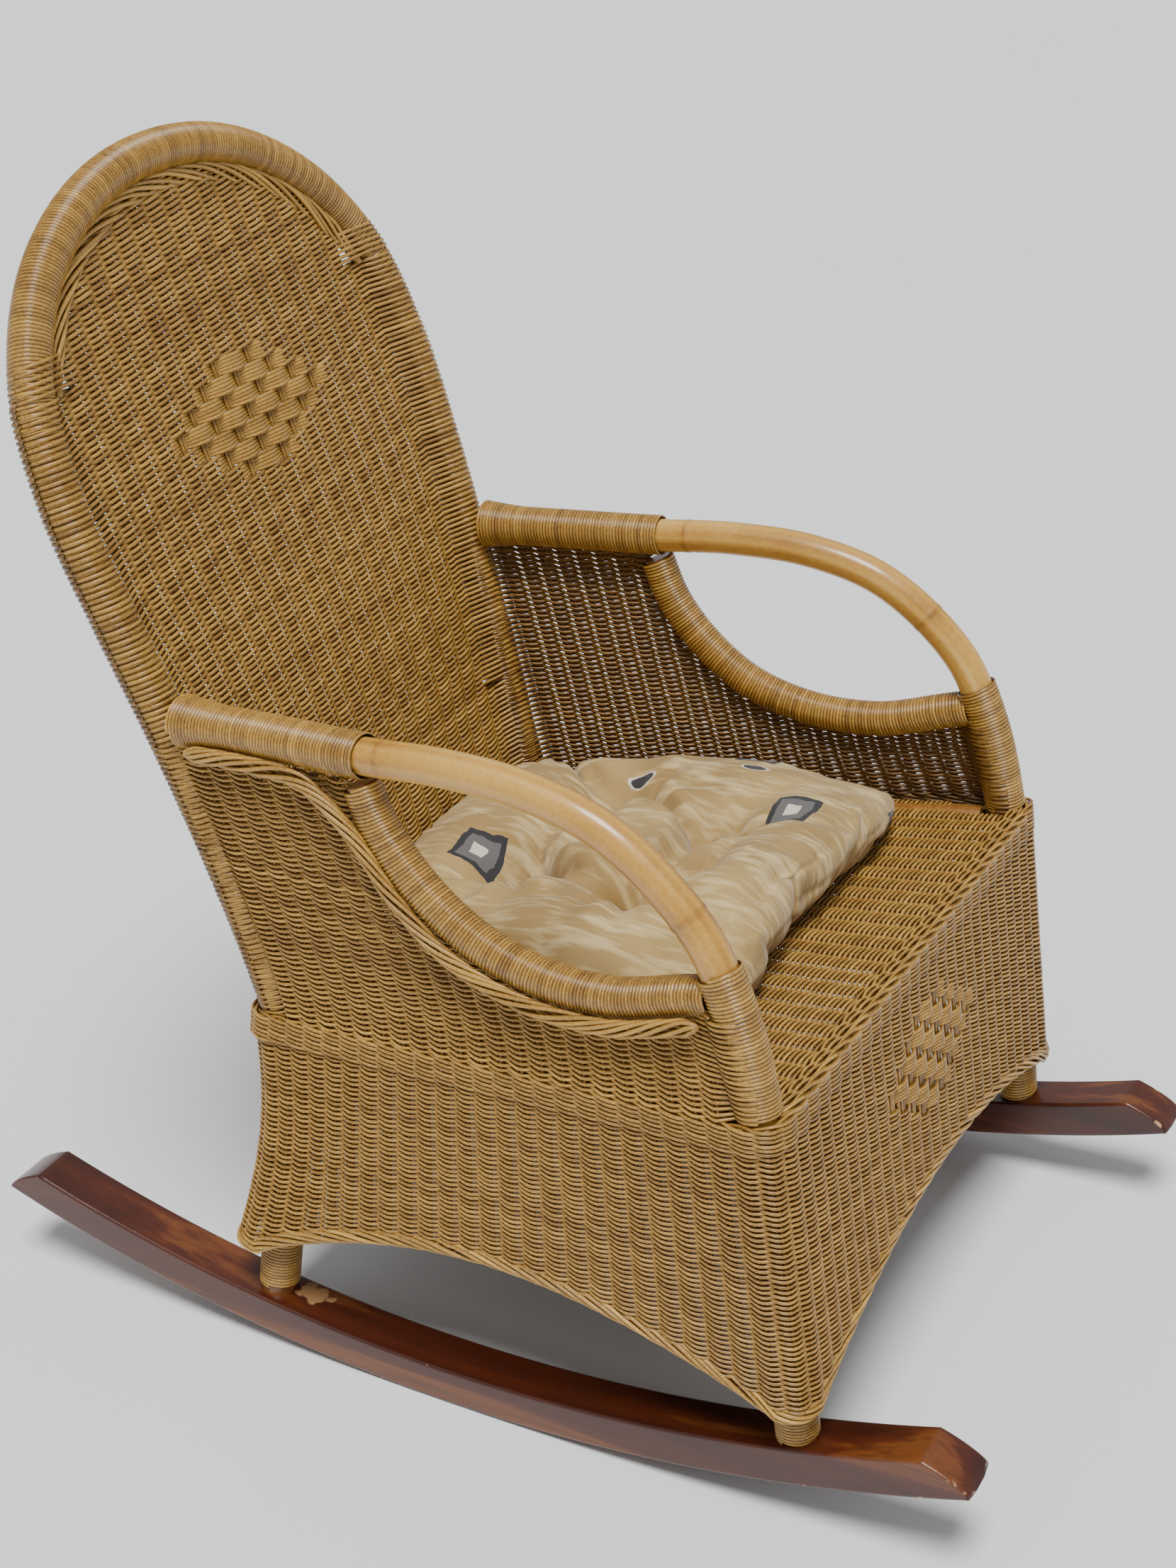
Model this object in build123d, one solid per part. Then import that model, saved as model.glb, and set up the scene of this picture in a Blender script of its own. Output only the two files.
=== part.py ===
"""Wicker rocking chair, in millimetres: rattan poles, strand wraps, woven panels, rockers and cushion.

The chair is drawn in its own frame first: X to the sitter's left, Y to the back, Z up, with the origin
midway between the feet of the two front legs, on the tops of the rockers. Every node is then rolled back
on its rockers to the angle where the chair balances, and set down on the floor.
"""

import math
import os

from build123d import *

# Rockers: two arcs about one centre, seen from the side.
ROCKER_CENTRE_Y = 249.4
ROCKER_CENTRE_Z = 1285.8
ROCKER_TOP_RADIUS = 1309.6
ROCKER_THICKNESS = 34.0
ROCKER_WIDTH = 42.6
ROCKER_X = 250.0
ROCKER_FRONT_TOP_DEG = -15.8
ROCKER_FRONT_TIP_DEG = -17.1
ROCKER_BACK_TOP_DEG = 21.1
ROCKER_BACK_TIP_DEG = 22.3
ROCKER_END_BULGE = 5.0

# How the balanced chair stands, rolled back about the rocker centre.
REST_TILT_DEG = 2.75
BOX_MIDDLE_Y = 246.1

# Pole and wrap sections.
POLE_RADIUS = 14.5
RAIL_RADIUS = 12.0
SEAT_RAIL_RADIUS = 11.0
WRAP_CLEARANCE = 0.1
POST_WRAP_RADIUS = 17.2
ARM_WRAP_RADIUS = 17.6
RAIL_WRAP_RADIUS = 15.2
ARCH_WRAP_RADIUS = 17.0
BRAID_RADIUS = 5.5
BORDER_RADIUS = 5.0
BACK_BRAID_LOW_Z = 800.0
WEAVE_THICKNESS = 5.0

# Arm pole on the sitter's left (+X): from the back frame along the arm and down the post to the rocker.
ARM_BACK = (229.0, 499.5, 518.5)
ARM_POINTS = [
    ARM_BACK,
    (234.5, 410.0, 519.0),
    (241.0, 324.0, 519.0),
    (244.6, 250.0, 521.0),
    (248.2, 179.0, 514.5),
    (251.2, 120.0, 495.0),
    (253.6, 75.0, 460.0),
    (255.0, 46.0, 424.0),
    (256.2, 26.0, 372.0),
    (257.0, 11.0, 290.0),
    (254.0, 5.0, 150.0),
    (250.0, 0.0, -9.0),
]
ARM_WRAP_BACK_Y = 499.0
ARM_WRAP_FRONT_Y = 321.0
POST_TOP = (255.6, 36.5, 404.0)
POST_BOTTOM = (257.0, 11.0, 290.0)
LEG_WRAP_TOP_Z = 75.0

# Lower arm rail on the sitter's left: from under the arm down and forward to the post.
RAIL_POINTS = [
    (241.4, 329.0, 497.0),
    (242.0, 317.0, 462.0),
    (243.4, 289.0, 421.0),
    (245.6, 246.0, 385.0),
    (249.0, 192.0, 365.0),
    (252.2, 130.0, 361.0),
    (255.0, 54.5, 378.5),
]

# Back frame: half of it, from the rear foot up to the middle of the arch.
FRAME_POINTS = [
    (250.0, 487.0, -9.0),
    (241.0, 478.0, 50.0),
    (226.0, 467.0, 110.0),
    (211.0, 461.0, 180.0),
    (206.0, 463.0, 235.0),
    (207.5, 472.0, 290.0),
    (215.5, 493.0, 398.0),
    (225.0, 517.2, 501.0),
    (235.0, 543.7, 599.0),
    (240.8, 571.0, 696.6),
    (226.5, 592.1, 773.5),
    (184.8, 608.6, 835.0),
    (121.0, 620.1, 879.0),
    (54.0, 625.6, 900.5),
]
FRAME_TOP = (0.0, 626.8, 904.5)
FIRST_BACK_POINT = 5
ARCH_WRAP_BOTTOM_Z = 292.0

# Heights and depths of the woven walls.
SEAT_FRONT_Z = 289.0
SEAT_BACK_Z = 258.0
SEAT_FRONT_Y = 5.0
SEAT_BACK_Y = 455.0
SEAT_FRONT_HALF = 235.0
SEAT_BACK_HALF = 184.0
SEAT_THICKNESS = 6.0
SKIRT_FRONT_TOP = (279.0, -9.0, 284.0)
SKIRT_FRONT_BOTTOM = (280.0, -21.0, 40.0)
SKIRT_BACK_TOP = (227.0, 493.0, 252.0)
SKIRT_BACK_BOTTOM = (271.0, 509.0, 54.0)
SKIRT_SIDE_RISE = 58.0
SKIRT_FRONT_RISE = 52.0
SKIRT_BACK_RISE = 40.0
SKIRT_BACK_BOW = 12.0
PANEL_OFFSET = 8.0
BAND_HEIGHT = 22.0
BAND_THICKNESS = 3.5
BAND_FRONT_Z = 294.0
BAND_BACK_Z = 258.0
FRONT_ROLL_RADIUS = 7.0
FRONT_ROLL_PLACE = (-3.0, 286.0)

# Hidden rails that carry the seat, between the legs: middle-line ends on the sitter's left.
SIDE_RAIL_FRONT = (249.0, 29.5, 280.0)
SIDE_RAIL_BACK = (203.5, 444.0, 249.0)
FRONT_RAIL_END = (240.0, 9.5, 272.0)
REAR_RAIL_END = (189.0, 466.0, 245.0)

# Arm panel on the sitter's left: its four corners as a flat wall, and its outline as (y, z) points.
PANEL_CORNERS = [
    (257.0 + PANEL_OFFSET, 20.0, 240.0),
    (255.5 + PANEL_OFFSET, 20.0, 520.0),
    (207.0 + PANEL_OFFSET, 520.0, 240.0),
    (228.0 + PANEL_OFFSET, 520.0, 520.0),
]
PANEL_BELOW_RAIL = RAIL_WRAP_RADIUS + 2.2
PANEL_OUTLINE = [
    (29.0, 292.0),
    (48.0, 360.0),
    (90.0, 367.0 - PANEL_BELOW_RAIL),
    (130.0, 360.0 - PANEL_BELOW_RAIL),
    (192.0, 363.0 - PANEL_BELOW_RAIL),
    (240.0, 378.0 - PANEL_BELOW_RAIL),
    (268.0, 384.0),
    (300.0, 410.0),
    (326.0, 446.0),
    (347.0, 486.0),
    (350.0, 500.0),
    (490.0, 500.0),
    (484.0, 450.0),
    (474.0, 400.0),
    (456.0, 310.0),
    (454.0, 262.0),
]

# Plaited edge on the outside of the arm panel.
BRAID_POINTS = [
    (248.0, 488.0, 501.0),
    (251.5, 430.0, 502.0),
    (254.0, 374.0, 495.0),
    (256.0, 336.0, 462.0),
    (257.5, 303.0, 412.0),
    (260.5, 262.0, 373.0),
    (265.0, 200.0, 349.0),
    (269.5, 130.0, 345.0),
    (274.0, 46.0, 365.0),
]

# Cushion: a rounded slab that lies on the seat with a small gap all round.
CUSHION_FRONT_Y = 72.0
CUSHION_BACK_Y = 446.0
CUSHION_FRONT_HALF = 214.0
CUSHION_BACK_HALF = 182.0
CUSHION_THICKNESS = 84.0
CUSHION_GAP = 0.5
CUSHION_ROUND = 34.0

nodes = {}


def subtract(a, b):
    return tuple(p - q for p, q in zip(a, b))


def length(a):
    return math.sqrt(sum(p * p for p in a))


def mirrored(points):
    return [(-x, y, z) for x, y, z in points]


def turn_at(before, corner, after):
    """The angle in radians by which a path turns at a corner."""
    into = subtract(corner, before)
    out = subtract(after, corner)
    cosine = sum(p * q for p, q in zip(into, out)) / (length(into) * length(out))
    return math.acos(max(-1.0, min(1.0, cosine)))


def bend_radii(points):
    """The largest arc that fits at each corner without running into the next one."""
    radii = []
    for before, corner, after in zip(points, points[1:], points[2:]):
        run = min(length(subtract(corner, before)), length(subtract(after, corner)))
        radii.append(0.45 * run / math.tan(turn_at(before, corner, after) / 2))
    return radii


def bent_path(points):
    return FilletPolyline(*points, radius=bend_radii(points))


def section_plane(path):
    return Plane(origin=path @ 0, z_dir=path % 0)


def pole(points, radius):
    """A solid round pole along a bent path."""
    path = bent_path(points)
    return sweep(section_plane(path) * Circle(radius), path=path)


def straight(a, b, radius):
    """A round bar between two points."""
    axis = Vector(*subtract(b, a))
    return extrude(Plane(origin=a, z_dir=axis) * Circle(radius), amount=axis.length)


def wrap(points, radius, pole_radius):
    """A tube of wound strand round a bent pole."""
    return pole(points, radius) - pole(points, pole_radius + WRAP_CLEARANCE)


def slab_cut(shape, axis, low, high):
    """The part of a shape that lies between two values on one axis."""
    reach = 3000.0
    size = [reach, reach, reach]
    centre = [0.0, 0.0, 0.0]
    index = "XYZ".index(axis)
    size[index] = high - low
    centre[index] = (high + low) / 2
    return shape & (Pos(*centre) * Box(*size))


def on_rocker(radius, degrees):
    """A point (y, z) on a rocker arc, at an angle from straight down."""
    angle = math.radians(degrees)
    return (ROCKER_CENTRE_Y + radius * math.sin(angle), ROCKER_CENTRE_Z - radius * math.cos(angle))


def rocker_end(top, tip, outward):
    """The rounded-over end between the top face and the tip."""
    middle_y = (top[0] + tip[0]) / 2 + outward * ROCKER_END_BULGE
    middle_z = (top[1] + tip[1]) / 2 + ROCKER_END_BULGE
    return ThreePointArc(top, (middle_y, middle_z), tip)


def rocker(side):
    top_radius = ROCKER_TOP_RADIUS
    foot_radius = ROCKER_TOP_RADIUS + ROCKER_THICKNESS
    front_top = on_rocker(top_radius, ROCKER_FRONT_TOP_DEG)
    front_tip = on_rocker(foot_radius, ROCKER_FRONT_TIP_DEG)
    back_top = on_rocker(top_radius, ROCKER_BACK_TOP_DEG)
    back_tip = on_rocker(foot_radius, ROCKER_BACK_TIP_DEG)
    middle = (ROCKER_FRONT_TOP_DEG + ROCKER_BACK_TOP_DEG) / 2
    edges = Curve() + [
        ThreePointArc(front_top, on_rocker(top_radius, middle), back_top),
        rocker_end(back_top, back_tip, 1),
        ThreePointArc(back_tip, on_rocker(foot_radius, middle), front_tip),
        rocker_end(front_top, front_tip, -1),
    ]
    side_view = Plane.YZ * make_face(edges)
    start = side * ROCKER_X - ROCKER_WIDTH / 2
    return Pos(start, 0, 0) * extrude(side_view, amount=ROCKER_WIDTH)


def strip(corners_front, corners_back):
    """A ruled wall between a front and a back outline, each a four-sided face."""
    front = make_face(Polyline(*corners_front, close=True))
    back = make_face(Polyline(*corners_back, close=True))
    return loft([front.face(), back.face()], ruled=True)


def wall(front_bottom, front_top, back_bottom, back_top, thickness):
    """A thin side wall that runs from a front edge to a back edge, centred on both."""
    half = thickness / 2

    def outline(bottom, top):
        y = (bottom[1] + top[1]) / 2
        return [
            (bottom[0] - half, y, bottom[2]),
            (bottom[0] + half, y, bottom[2]),
            (top[0] + half, y, top[2]),
            (top[0] - half, y, top[2]),
        ]

    return strip(outline(front_bottom, front_top), outline(back_bottom, back_top))


def side_prism(outline, side):
    """A prism along X on one side of the chair, with an outline of (y, z) points."""
    face = Plane.YZ * make_face(Polyline(*outline, close=True))
    block = extrude(face, amount=420.0)
    return block if side > 0 else mirror(block, about=Plane.YZ)


def front_prism(outline):
    """A prism along Y through the whole chair, with an outline of (x, z) points."""
    face = Plane.XZ * make_face(Polyline(*outline, close=True))
    return extrude(face, amount=1200.0, both=True)


def arch_height(low_a, low_b, rise, share):
    """Height of an arched lower edge that joins two corners."""
    return low_a + (low_b - low_a) * share + rise * math.sin(math.pi * share) ** 0.8


def skirt_x(y, z):
    """Distance of a side skirt's middle surface from the chair's middle plane."""
    depth = (y - SKIRT_FRONT_BOTTOM[1]) / (SKIRT_BACK_BOTTOM[1] - SKIRT_FRONT_BOTTOM[1])
    low_z, high_z = SKIRT_FRONT_BOTTOM[2], SKIRT_FRONT_TOP[2]
    height = (z - low_z) / (high_z - low_z)
    low = SKIRT_FRONT_BOTTOM[0] + (SKIRT_BACK_BOTTOM[0] - SKIRT_FRONT_BOTTOM[0]) * depth
    high = SKIRT_FRONT_TOP[0] + (SKIRT_BACK_TOP[0] - SKIRT_FRONT_TOP[0]) * depth
    return low + (high - low) * height


def skirt_layer(low, high, offset, thickness):
    """A wall parallel to a side skirt, a set distance outside its middle surface."""
    front, back = SKIRT_FRONT_BOTTOM[1] - 2.0, SKIRT_BACK_BOTTOM[1] + 2.0
    return wall(
        (skirt_x(front, low) + offset, front, low),
        (skirt_x(front, high) + offset, front, high),
        (skirt_x(back, low) + offset, back, low),
        (skirt_x(back, high) + offset, back, high),
        thickness,
    )


def side_skirt():
    """Woven wall below the seat, with an arched lower edge."""
    wall_solid = skirt_layer(20.0, 320.0, 0.0, WEAVE_THICKNESS)
    bow_y = (SKIRT_BACK_TOP[1] + SKIRT_BACK_BOTTOM[1]) / 2 - SKIRT_BACK_BOW
    bow_z = (SKIRT_BACK_TOP[2] + SKIRT_BACK_BOTTOM[2]) / 2
    outline = [
        (SKIRT_FRONT_TOP[1], SKIRT_FRONT_TOP[2]),
        (SKIRT_BACK_TOP[1], SKIRT_BACK_TOP[2]),
        (bow_y, bow_z),
    ] + list(reversed(side_edge(BORDER_RADIUS + 1.0)))
    return wall_solid & side_prism(outline, 1)


def side_edge(lift):
    """Points (y, z) along the lower edge of a side skirt, front to back, raised by a lift."""
    points = []
    for step in range(13):
        share = step / 12
        y = SKIRT_FRONT_BOTTOM[1] + (SKIRT_BACK_BOTTOM[1] - SKIRT_FRONT_BOTTOM[1]) * share
        z = arch_height(SKIRT_FRONT_BOTTOM[2], SKIRT_BACK_BOTTOM[2], SKIRT_SIDE_RISE, share)
        points.append((y, z + lift))
    return points


def cross_edge(half, bottom, rise, lift):
    """Points (x, z) along the lower edge of a front or rear skirt, from left to right of the sitter."""
    points = []
    for step in range(13):
        share = step / 12
        x = half * (1 - 2 * share)
        points.append((x, arch_height(bottom, bottom, rise, share) + lift))
    return points


def cross_wall(bottom, top, thickness, bow=0.0):
    """A leaning wall across the chair, from a bottom line to a top line, drawn forward half-way up."""
    lean = (top[1] - bottom[1]) / (top[2] - bottom[2])
    low, high = bottom[2] - 20.0, top[2] + 20.0
    y_low = bottom[1] - lean * 20.0
    y_high = top[1] + lean * 20.0
    y_middle = (y_low + y_high) / 2 - bow
    middle = (low + high) / 2
    half = thickness / 2
    profile = [
        (y_low - half, low),
        (y_low + half, low),
        (y_middle + half, middle),
        (y_high + half, high),
        (y_high - half, high),
        (y_middle - half, middle),
    ]
    face = Plane.YZ * make_face(Polyline(*profile, close=True))
    return extrude(face, amount=400.0, both=True)


def front_skirt():
    """Woven front wall, from the seat's front edge down to the arched border."""
    half_top = SKIRT_FRONT_TOP[0] - WEAVE_THICKNESS / 2 - 2.5
    half_bottom = SKIRT_FRONT_BOTTOM[0] - WEAVE_THICKNESS / 2 - 2.5
    outline = [(-half_top, 278.0), (half_top, 278.0)] + cross_edge(
        half_bottom, SKIRT_FRONT_BOTTOM[2], SKIRT_FRONT_RISE, BORDER_RADIUS + 0.3
    )
    return cross_wall(SKIRT_FRONT_BOTTOM, SKIRT_FRONT_TOP, WEAVE_THICKNESS) & front_prism(outline)


def rear_skirt():
    """Woven rear wall below the seat."""
    half_top = SKIRT_BACK_TOP[0] - WEAVE_THICKNESS / 2 - 3.0
    half_bottom = SKIRT_BACK_BOTTOM[0] - WEAVE_THICKNESS / 2 - 3.0
    outline = [(-half_top, 250.0), (half_top, 250.0)] + cross_edge(
        half_bottom, SKIRT_BACK_BOTTOM[2], SKIRT_BACK_RISE, BORDER_RADIUS + 0.3
    )
    wall_solid = cross_wall(SKIRT_BACK_BOTTOM, SKIRT_BACK_TOP, WEAVE_THICKNESS, SKIRT_BACK_BOW)
    return wall_solid & front_prism(outline)


def side_border():
    """Plaited border under a side skirt."""
    points = []
    for y, z in side_edge(0.0):
        points.append((skirt_x(y, z), y, z))
    return pole(points, BORDER_RADIUS)


def cross_border(bottom, rise):
    """Plaited border under the front or rear skirt."""
    half = bottom[0] - 2 * BORDER_RADIUS
    points = [(x, bottom[1], z) for x, z in cross_edge(half, bottom[2], rise, 0.0)]
    return pole(points, BORDER_RADIUS)


def side_panel():
    """Woven wall above the seat, under the arm and the lower rail."""
    wall_solid = wall(*PANEL_CORNERS, WEAVE_THICKNESS)
    return wall_solid & side_prism(PANEL_OUTLINE, 1)


def side_braid():
    """Plaited edge on the outside of a side panel's top."""
    return pole(BRAID_POINTS, BRAID_RADIUS)


def seat_band():
    """Raised band of coarser weave at seat level on one side."""
    outer = BAND_THICKNESS / 2 + WEAVE_THICKNESS / 2 + 0.2
    band = skirt_layer(20.0, 320.0, outer, BAND_THICKNESS)
    outline = [
        (-14.0, BAND_FRONT_Z - BAND_HEIGHT),
        (-14.0, BAND_FRONT_Z),
        (494.0, BAND_BACK_Z),
        (494.0, BAND_BACK_Z - BAND_HEIGHT),
    ]
    return band & side_prism(outline, 1)


def front_roll():
    """Rolled front edge of the seat."""
    half = SEAT_FRONT_HALF + 3.0
    return straight((-half, *FRONT_ROLL_PLACE), (half, *FRONT_ROLL_PLACE), FRONT_ROLL_RADIUS)


def seat_panel():
    """Woven seat, sloping down to the back."""
    slope = (SEAT_BACK_Z - SEAT_FRONT_Z) / (SEAT_BACK_Y - SEAT_FRONT_Y)
    half = SEAT_THICKNESS / 2
    profile = [
        (SEAT_FRONT_Y, SEAT_FRONT_Z - half),
        (SEAT_BACK_Y, SEAT_BACK_Z - half),
        (SEAT_BACK_Y, SEAT_BACK_Z + half),
        (SEAT_FRONT_Y, SEAT_FRONT_Z + half),
    ]
    side_view = Plane.YZ * make_face(Polyline(*profile, close=True))
    sheet = extrude(side_view, amount=300.0, both=True)
    plan = [
        (-SEAT_FRONT_HALF, SEAT_FRONT_Y),
        (SEAT_FRONT_HALF, SEAT_FRONT_Y),
        (SEAT_BACK_HALF, SEAT_BACK_Y),
        (-SEAT_BACK_HALF, SEAT_BACK_Y),
    ]
    prism = extrude(make_face(Polyline(*plan, close=True)), amount=600.0)
    return sheet & prism, slope


def back_sheet():
    """A curved sheet that follows the lean of the back frame."""
    half = WEAVE_THICKNESS / 2
    line = [(y, z) for x, y, z in FRAME_POINTS[FIRST_BACK_POINT:]] + [(FRAME_TOP[1], FRAME_TOP[2])]
    front = [(y - half, z) for y, z in line]
    rear = [(y + half, z) for y, z in reversed(line)]
    start_front = (line[0][0] - half - 1.0, 262.0)
    start_rear = (line[0][0] + half - 1.0, 262.0)
    profile = [start_front] + front + rear + [start_rear]
    side_view = Plane.YZ * make_face(Polyline(*profile, close=True))
    return extrude(side_view, amount=300.0, both=True)


def inside_arch(gap):
    """Points (x, z) of the back panel's edge, a set distance inside the frame's centre line."""
    centre = [(x, z) for x, y, z in FRAME_POINTS[FIRST_BACK_POINT:]] + [(FRAME_TOP[0], FRAME_TOP[2])]
    full = centre + [(-x, z) for x, z in reversed(centre[:-1])]
    inset = []
    for index, (x, z) in enumerate(full):
        before = full[max(0, index - 1)]
        after = full[min(len(full) - 1, index + 1)]
        along = (after[0] - before[0], after[1] - before[1])
        size = math.hypot(*along)
        inset.append((x - gap * along[1] / size, z + gap * along[0] / size))
    return inset


def back_panel():
    """Woven back, set inside the arched frame."""
    edge = inside_arch(ARCH_WRAP_RADIUS + 3.0)
    outline = [(edge[0][0], 262.0)] + edge + [(edge[-1][0], 262.0)]
    return back_sheet() & front_prism(outline)


def frame_depth(height):
    """Depth of the back frame's centre line at a height."""
    line = [(z, y) for x, y, z in FRAME_POINTS[FIRST_BACK_POINT:]] + [(FRAME_TOP[2], FRAME_TOP[1])]
    for (z_a, y_a), (z_b, y_b) in zip(line, line[1:]):
        if z_a <= height <= z_b:
            return y_a + (y_b - y_a) * (height - z_a) / (z_b - z_a)
    return line[0][1]


def back_braid():
    """Plaited edge inside the top of the arch."""
    edge = inside_arch(ARCH_WRAP_RADIUS + BRAID_RADIUS + 3.5)
    forward = WEAVE_THICKNESS / 2 + BRAID_RADIUS + 1.5
    points = [(x, frame_depth(z) - forward, z) for x, z in edge if z > BACK_BRAID_LOW_Z]
    return pole(points, BRAID_RADIUS)


def cushion(slope):
    """Loose seat cushion: a rounded slab on the sloping seat."""
    plan = [
        (-CUSHION_FRONT_HALF, 0.0),
        (CUSHION_FRONT_HALF, 0.0),
        (CUSHION_BACK_HALF, CUSHION_BACK_Y - CUSHION_FRONT_Y),
        (-CUSHION_BACK_HALF, CUSHION_BACK_Y - CUSHION_FRONT_Y),
    ]
    slab = extrude(make_face(Polyline(*plan, close=True)), amount=CUSHION_THICKNESS)
    slab = fillet(slab.edges().filter_by(Axis.Z), CUSHION_ROUND + 14.0)
    slab = fillet(slab.faces().sort_by(Axis.Z)[-1].edges(), CUSHION_ROUND)
    slab = fillet(slab.faces().sort_by(Axis.Z)[0].edges(), CUSHION_ROUND)
    lift = SEAT_FRONT_Z + slope * (CUSHION_FRONT_Y - SEAT_FRONT_Y) + SEAT_THICKNESS / 2 + CUSHION_GAP
    return Pos(0, CUSHION_FRONT_Y, lift) * Rot(X=math.degrees(math.atan(slope))) * slab


def settle(shape):
    """Rolls a shape back on the rockers and sets the chair's origin on the floor."""
    floor = ROCKER_CENTRE_Z - ROCKER_TOP_RADIUS - ROCKER_THICKNESS
    to_centre = Pos(0, -ROCKER_CENTRE_Y, -ROCKER_CENTRE_Z)
    back = Pos(0, ROCKER_CENTRE_Y - BOX_MIDDLE_Y, ROCKER_CENTRE_Z - floor)
    return back * Rot(X=-REST_TILT_DEG) * to_centre * shape


def add(name, shape):
    nodes[name] = shape


def add_pair(name, shape):
    """One node on the sitter's left (+X) and its mirror image on the right."""
    add(name + "_left", shape)
    add(name + "_right", mirror(shape, about=Plane.YZ))


def build_frame():
    rocker_left = rocker(1)
    add_pair("rocker", rocker_left)
    full_arm = pole(ARM_POINTS, POLE_RADIUS)
    add_pair("arm_pole", full_arm - rocker_left)
    arm_tube = wrap(ARM_POINTS, ARM_WRAP_RADIUS, POLE_RADIUS)
    add_pair("arm_wrap", slab_cut(arm_tube, "Y", ARM_WRAP_FRONT_Y, ARM_WRAP_BACK_Y))
    post_tube = wrap(ARM_POINTS, POST_WRAP_RADIUS, POLE_RADIUS)
    add_pair("post_wrap", slab_cut(post_tube, "Z", POST_BOTTOM[2] + 4.0, POST_TOP[2]))
    add_pair("front_leg_wrap", slab_cut(post_tube, "Z", -20.0, LEG_WRAP_TOP_Z) - rocker_left)
    add_pair("lower_rail", pole(RAIL_POINTS, RAIL_RADIUS))
    add_pair("lower_rail_wrap", wrap(RAIL_POINTS, RAIL_WRAP_RADIUS, RAIL_RADIUS))
    half = FRAME_POINTS + [FRAME_TOP]
    full = half + mirrored(list(reversed(FRAME_POINTS)))
    frame = pole(full, POLE_RADIUS)
    frame_tube = wrap(full, ARCH_WRAP_RADIUS, POLE_RADIUS)
    both = rocker_left + mirror(rocker_left, about=Plane.YZ)
    add("back_frame", frame - both)
    add("back_frame_wrap", slab_cut(frame_tube, "Z", ARCH_WRAP_BOTTOM_Z, 1200.0))
    leg_tube = wrap(FRAME_POINTS[: FIRST_BACK_POINT + 2], POST_WRAP_RADIUS, POLE_RADIUS)
    add_pair("rear_leg_wrap", slab_cut(leg_tube, "Z", -20.0, LEG_WRAP_TOP_Z) - rocker_left)


def cross_rail(end):
    """A rail straight across the chair, from one end to its mirror image."""
    return straight((-end[0], end[1], end[2]), end, SEAT_RAIL_RADIUS)


def build_seat_frame():
    add_pair("seat_side_rail", straight(SIDE_RAIL_FRONT, SIDE_RAIL_BACK, SEAT_RAIL_RADIUS))
    add("seat_front_rail", cross_rail(FRONT_RAIL_END))
    add("seat_rear_rail", cross_rail(REAR_RAIL_END))


def build_weave():
    seat, slope = seat_panel()
    add("seat_panel", seat)
    add("back_panel", back_panel())
    add("back_braid", back_braid())
    add("front_skirt", front_skirt())
    add("rear_skirt", rear_skirt())
    add("front_roll", front_roll())
    add("front_border", cross_border(SKIRT_FRONT_BOTTOM, SKIRT_FRONT_RISE))
    add("rear_border", cross_border(SKIRT_BACK_BOTTOM, SKIRT_BACK_RISE))
    add_pair("side_panel", side_panel())
    add_pair("side_braid", side_braid())
    add_pair("side_skirt", side_skirt())
    add_pair("side_border", side_border())
    add_pair("seat_band", seat_band())
    return slope


def main():
    build_frame()
    build_seat_frame()
    slope = build_weave()
    add("cushion", cushion(slope))
    os.makedirs("parts", exist_ok=True)
    for name, shape in nodes.items():
        placed = settle(shape)
        export_step(placed, f"parts/{name}.step")
        box = placed.bounding_box()
        print(name, round(placed.volume), box.min, box.max)


main()
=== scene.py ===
"""Wicker rocking chair for Blender: the strands of its weave, its wraps, plaits, poles and rockers, and
its cushion.

Shapes are drawn in the chair's own frame, in millimetres: X to the sitter's left, Y to the back, Z up, with
the origin midway between the front feet on the tops of the rockers. settle() rolls them back on the
rockers to where the chair balances and turns them into metres on the floor, as the CAD model stands.
"""

import math

import bpy
import numpy as np
from mathutils import Matrix, Vector


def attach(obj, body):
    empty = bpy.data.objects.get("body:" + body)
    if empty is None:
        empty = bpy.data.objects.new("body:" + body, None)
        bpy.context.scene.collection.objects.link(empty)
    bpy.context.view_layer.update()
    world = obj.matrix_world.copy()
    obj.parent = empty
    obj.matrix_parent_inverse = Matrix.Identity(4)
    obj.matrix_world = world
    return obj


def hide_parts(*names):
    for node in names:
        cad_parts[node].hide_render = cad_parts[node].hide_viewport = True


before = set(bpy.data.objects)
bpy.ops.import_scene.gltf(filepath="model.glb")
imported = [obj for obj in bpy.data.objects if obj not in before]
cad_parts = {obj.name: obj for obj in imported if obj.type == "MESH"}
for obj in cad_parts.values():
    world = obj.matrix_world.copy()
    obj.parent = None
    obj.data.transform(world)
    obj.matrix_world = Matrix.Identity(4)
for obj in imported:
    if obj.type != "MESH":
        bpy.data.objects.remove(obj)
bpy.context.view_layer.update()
rng = np.random.default_rng(7)

# How the chair stands.
REST_TILT = math.radians(2.75)
ROCKER_CENTRE_Y = 249.4
ROCKER_CENTRE_Z = 1285.8
ROCKER_FOOT_RADIUS = 1343.6
BOX_MIDDLE_Y = 246.1

# Camera, in the chair's own frame.
CAMERA_PLACE = (-1507.1, -624.0, 1229.1)
CAMERA_YAW = math.radians(59.053)
CAMERA_PITCH = math.radians(25.505)
CAMERA_ROLL = math.radians(5.624)
CAMERA_LENS = 54.06
CAMERA_SENSOR = 36.0

# Dark, middle and pale colours of the cane. The painted shade on the strands' backs and in the grooves of
# the wraps leans to the dark end, the painted light on their faces to the pale end.
WEAVE_COLOURS = ((0.035, 0.011, 0.002), (0.25, 0.118, 0.017), (0.7, 0.41, 0.085))
WRAP_COLOURS = ((0.06, 0.02, 0.003), (0.4, 0.205, 0.03), (0.82, 0.53, 0.12))

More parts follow.
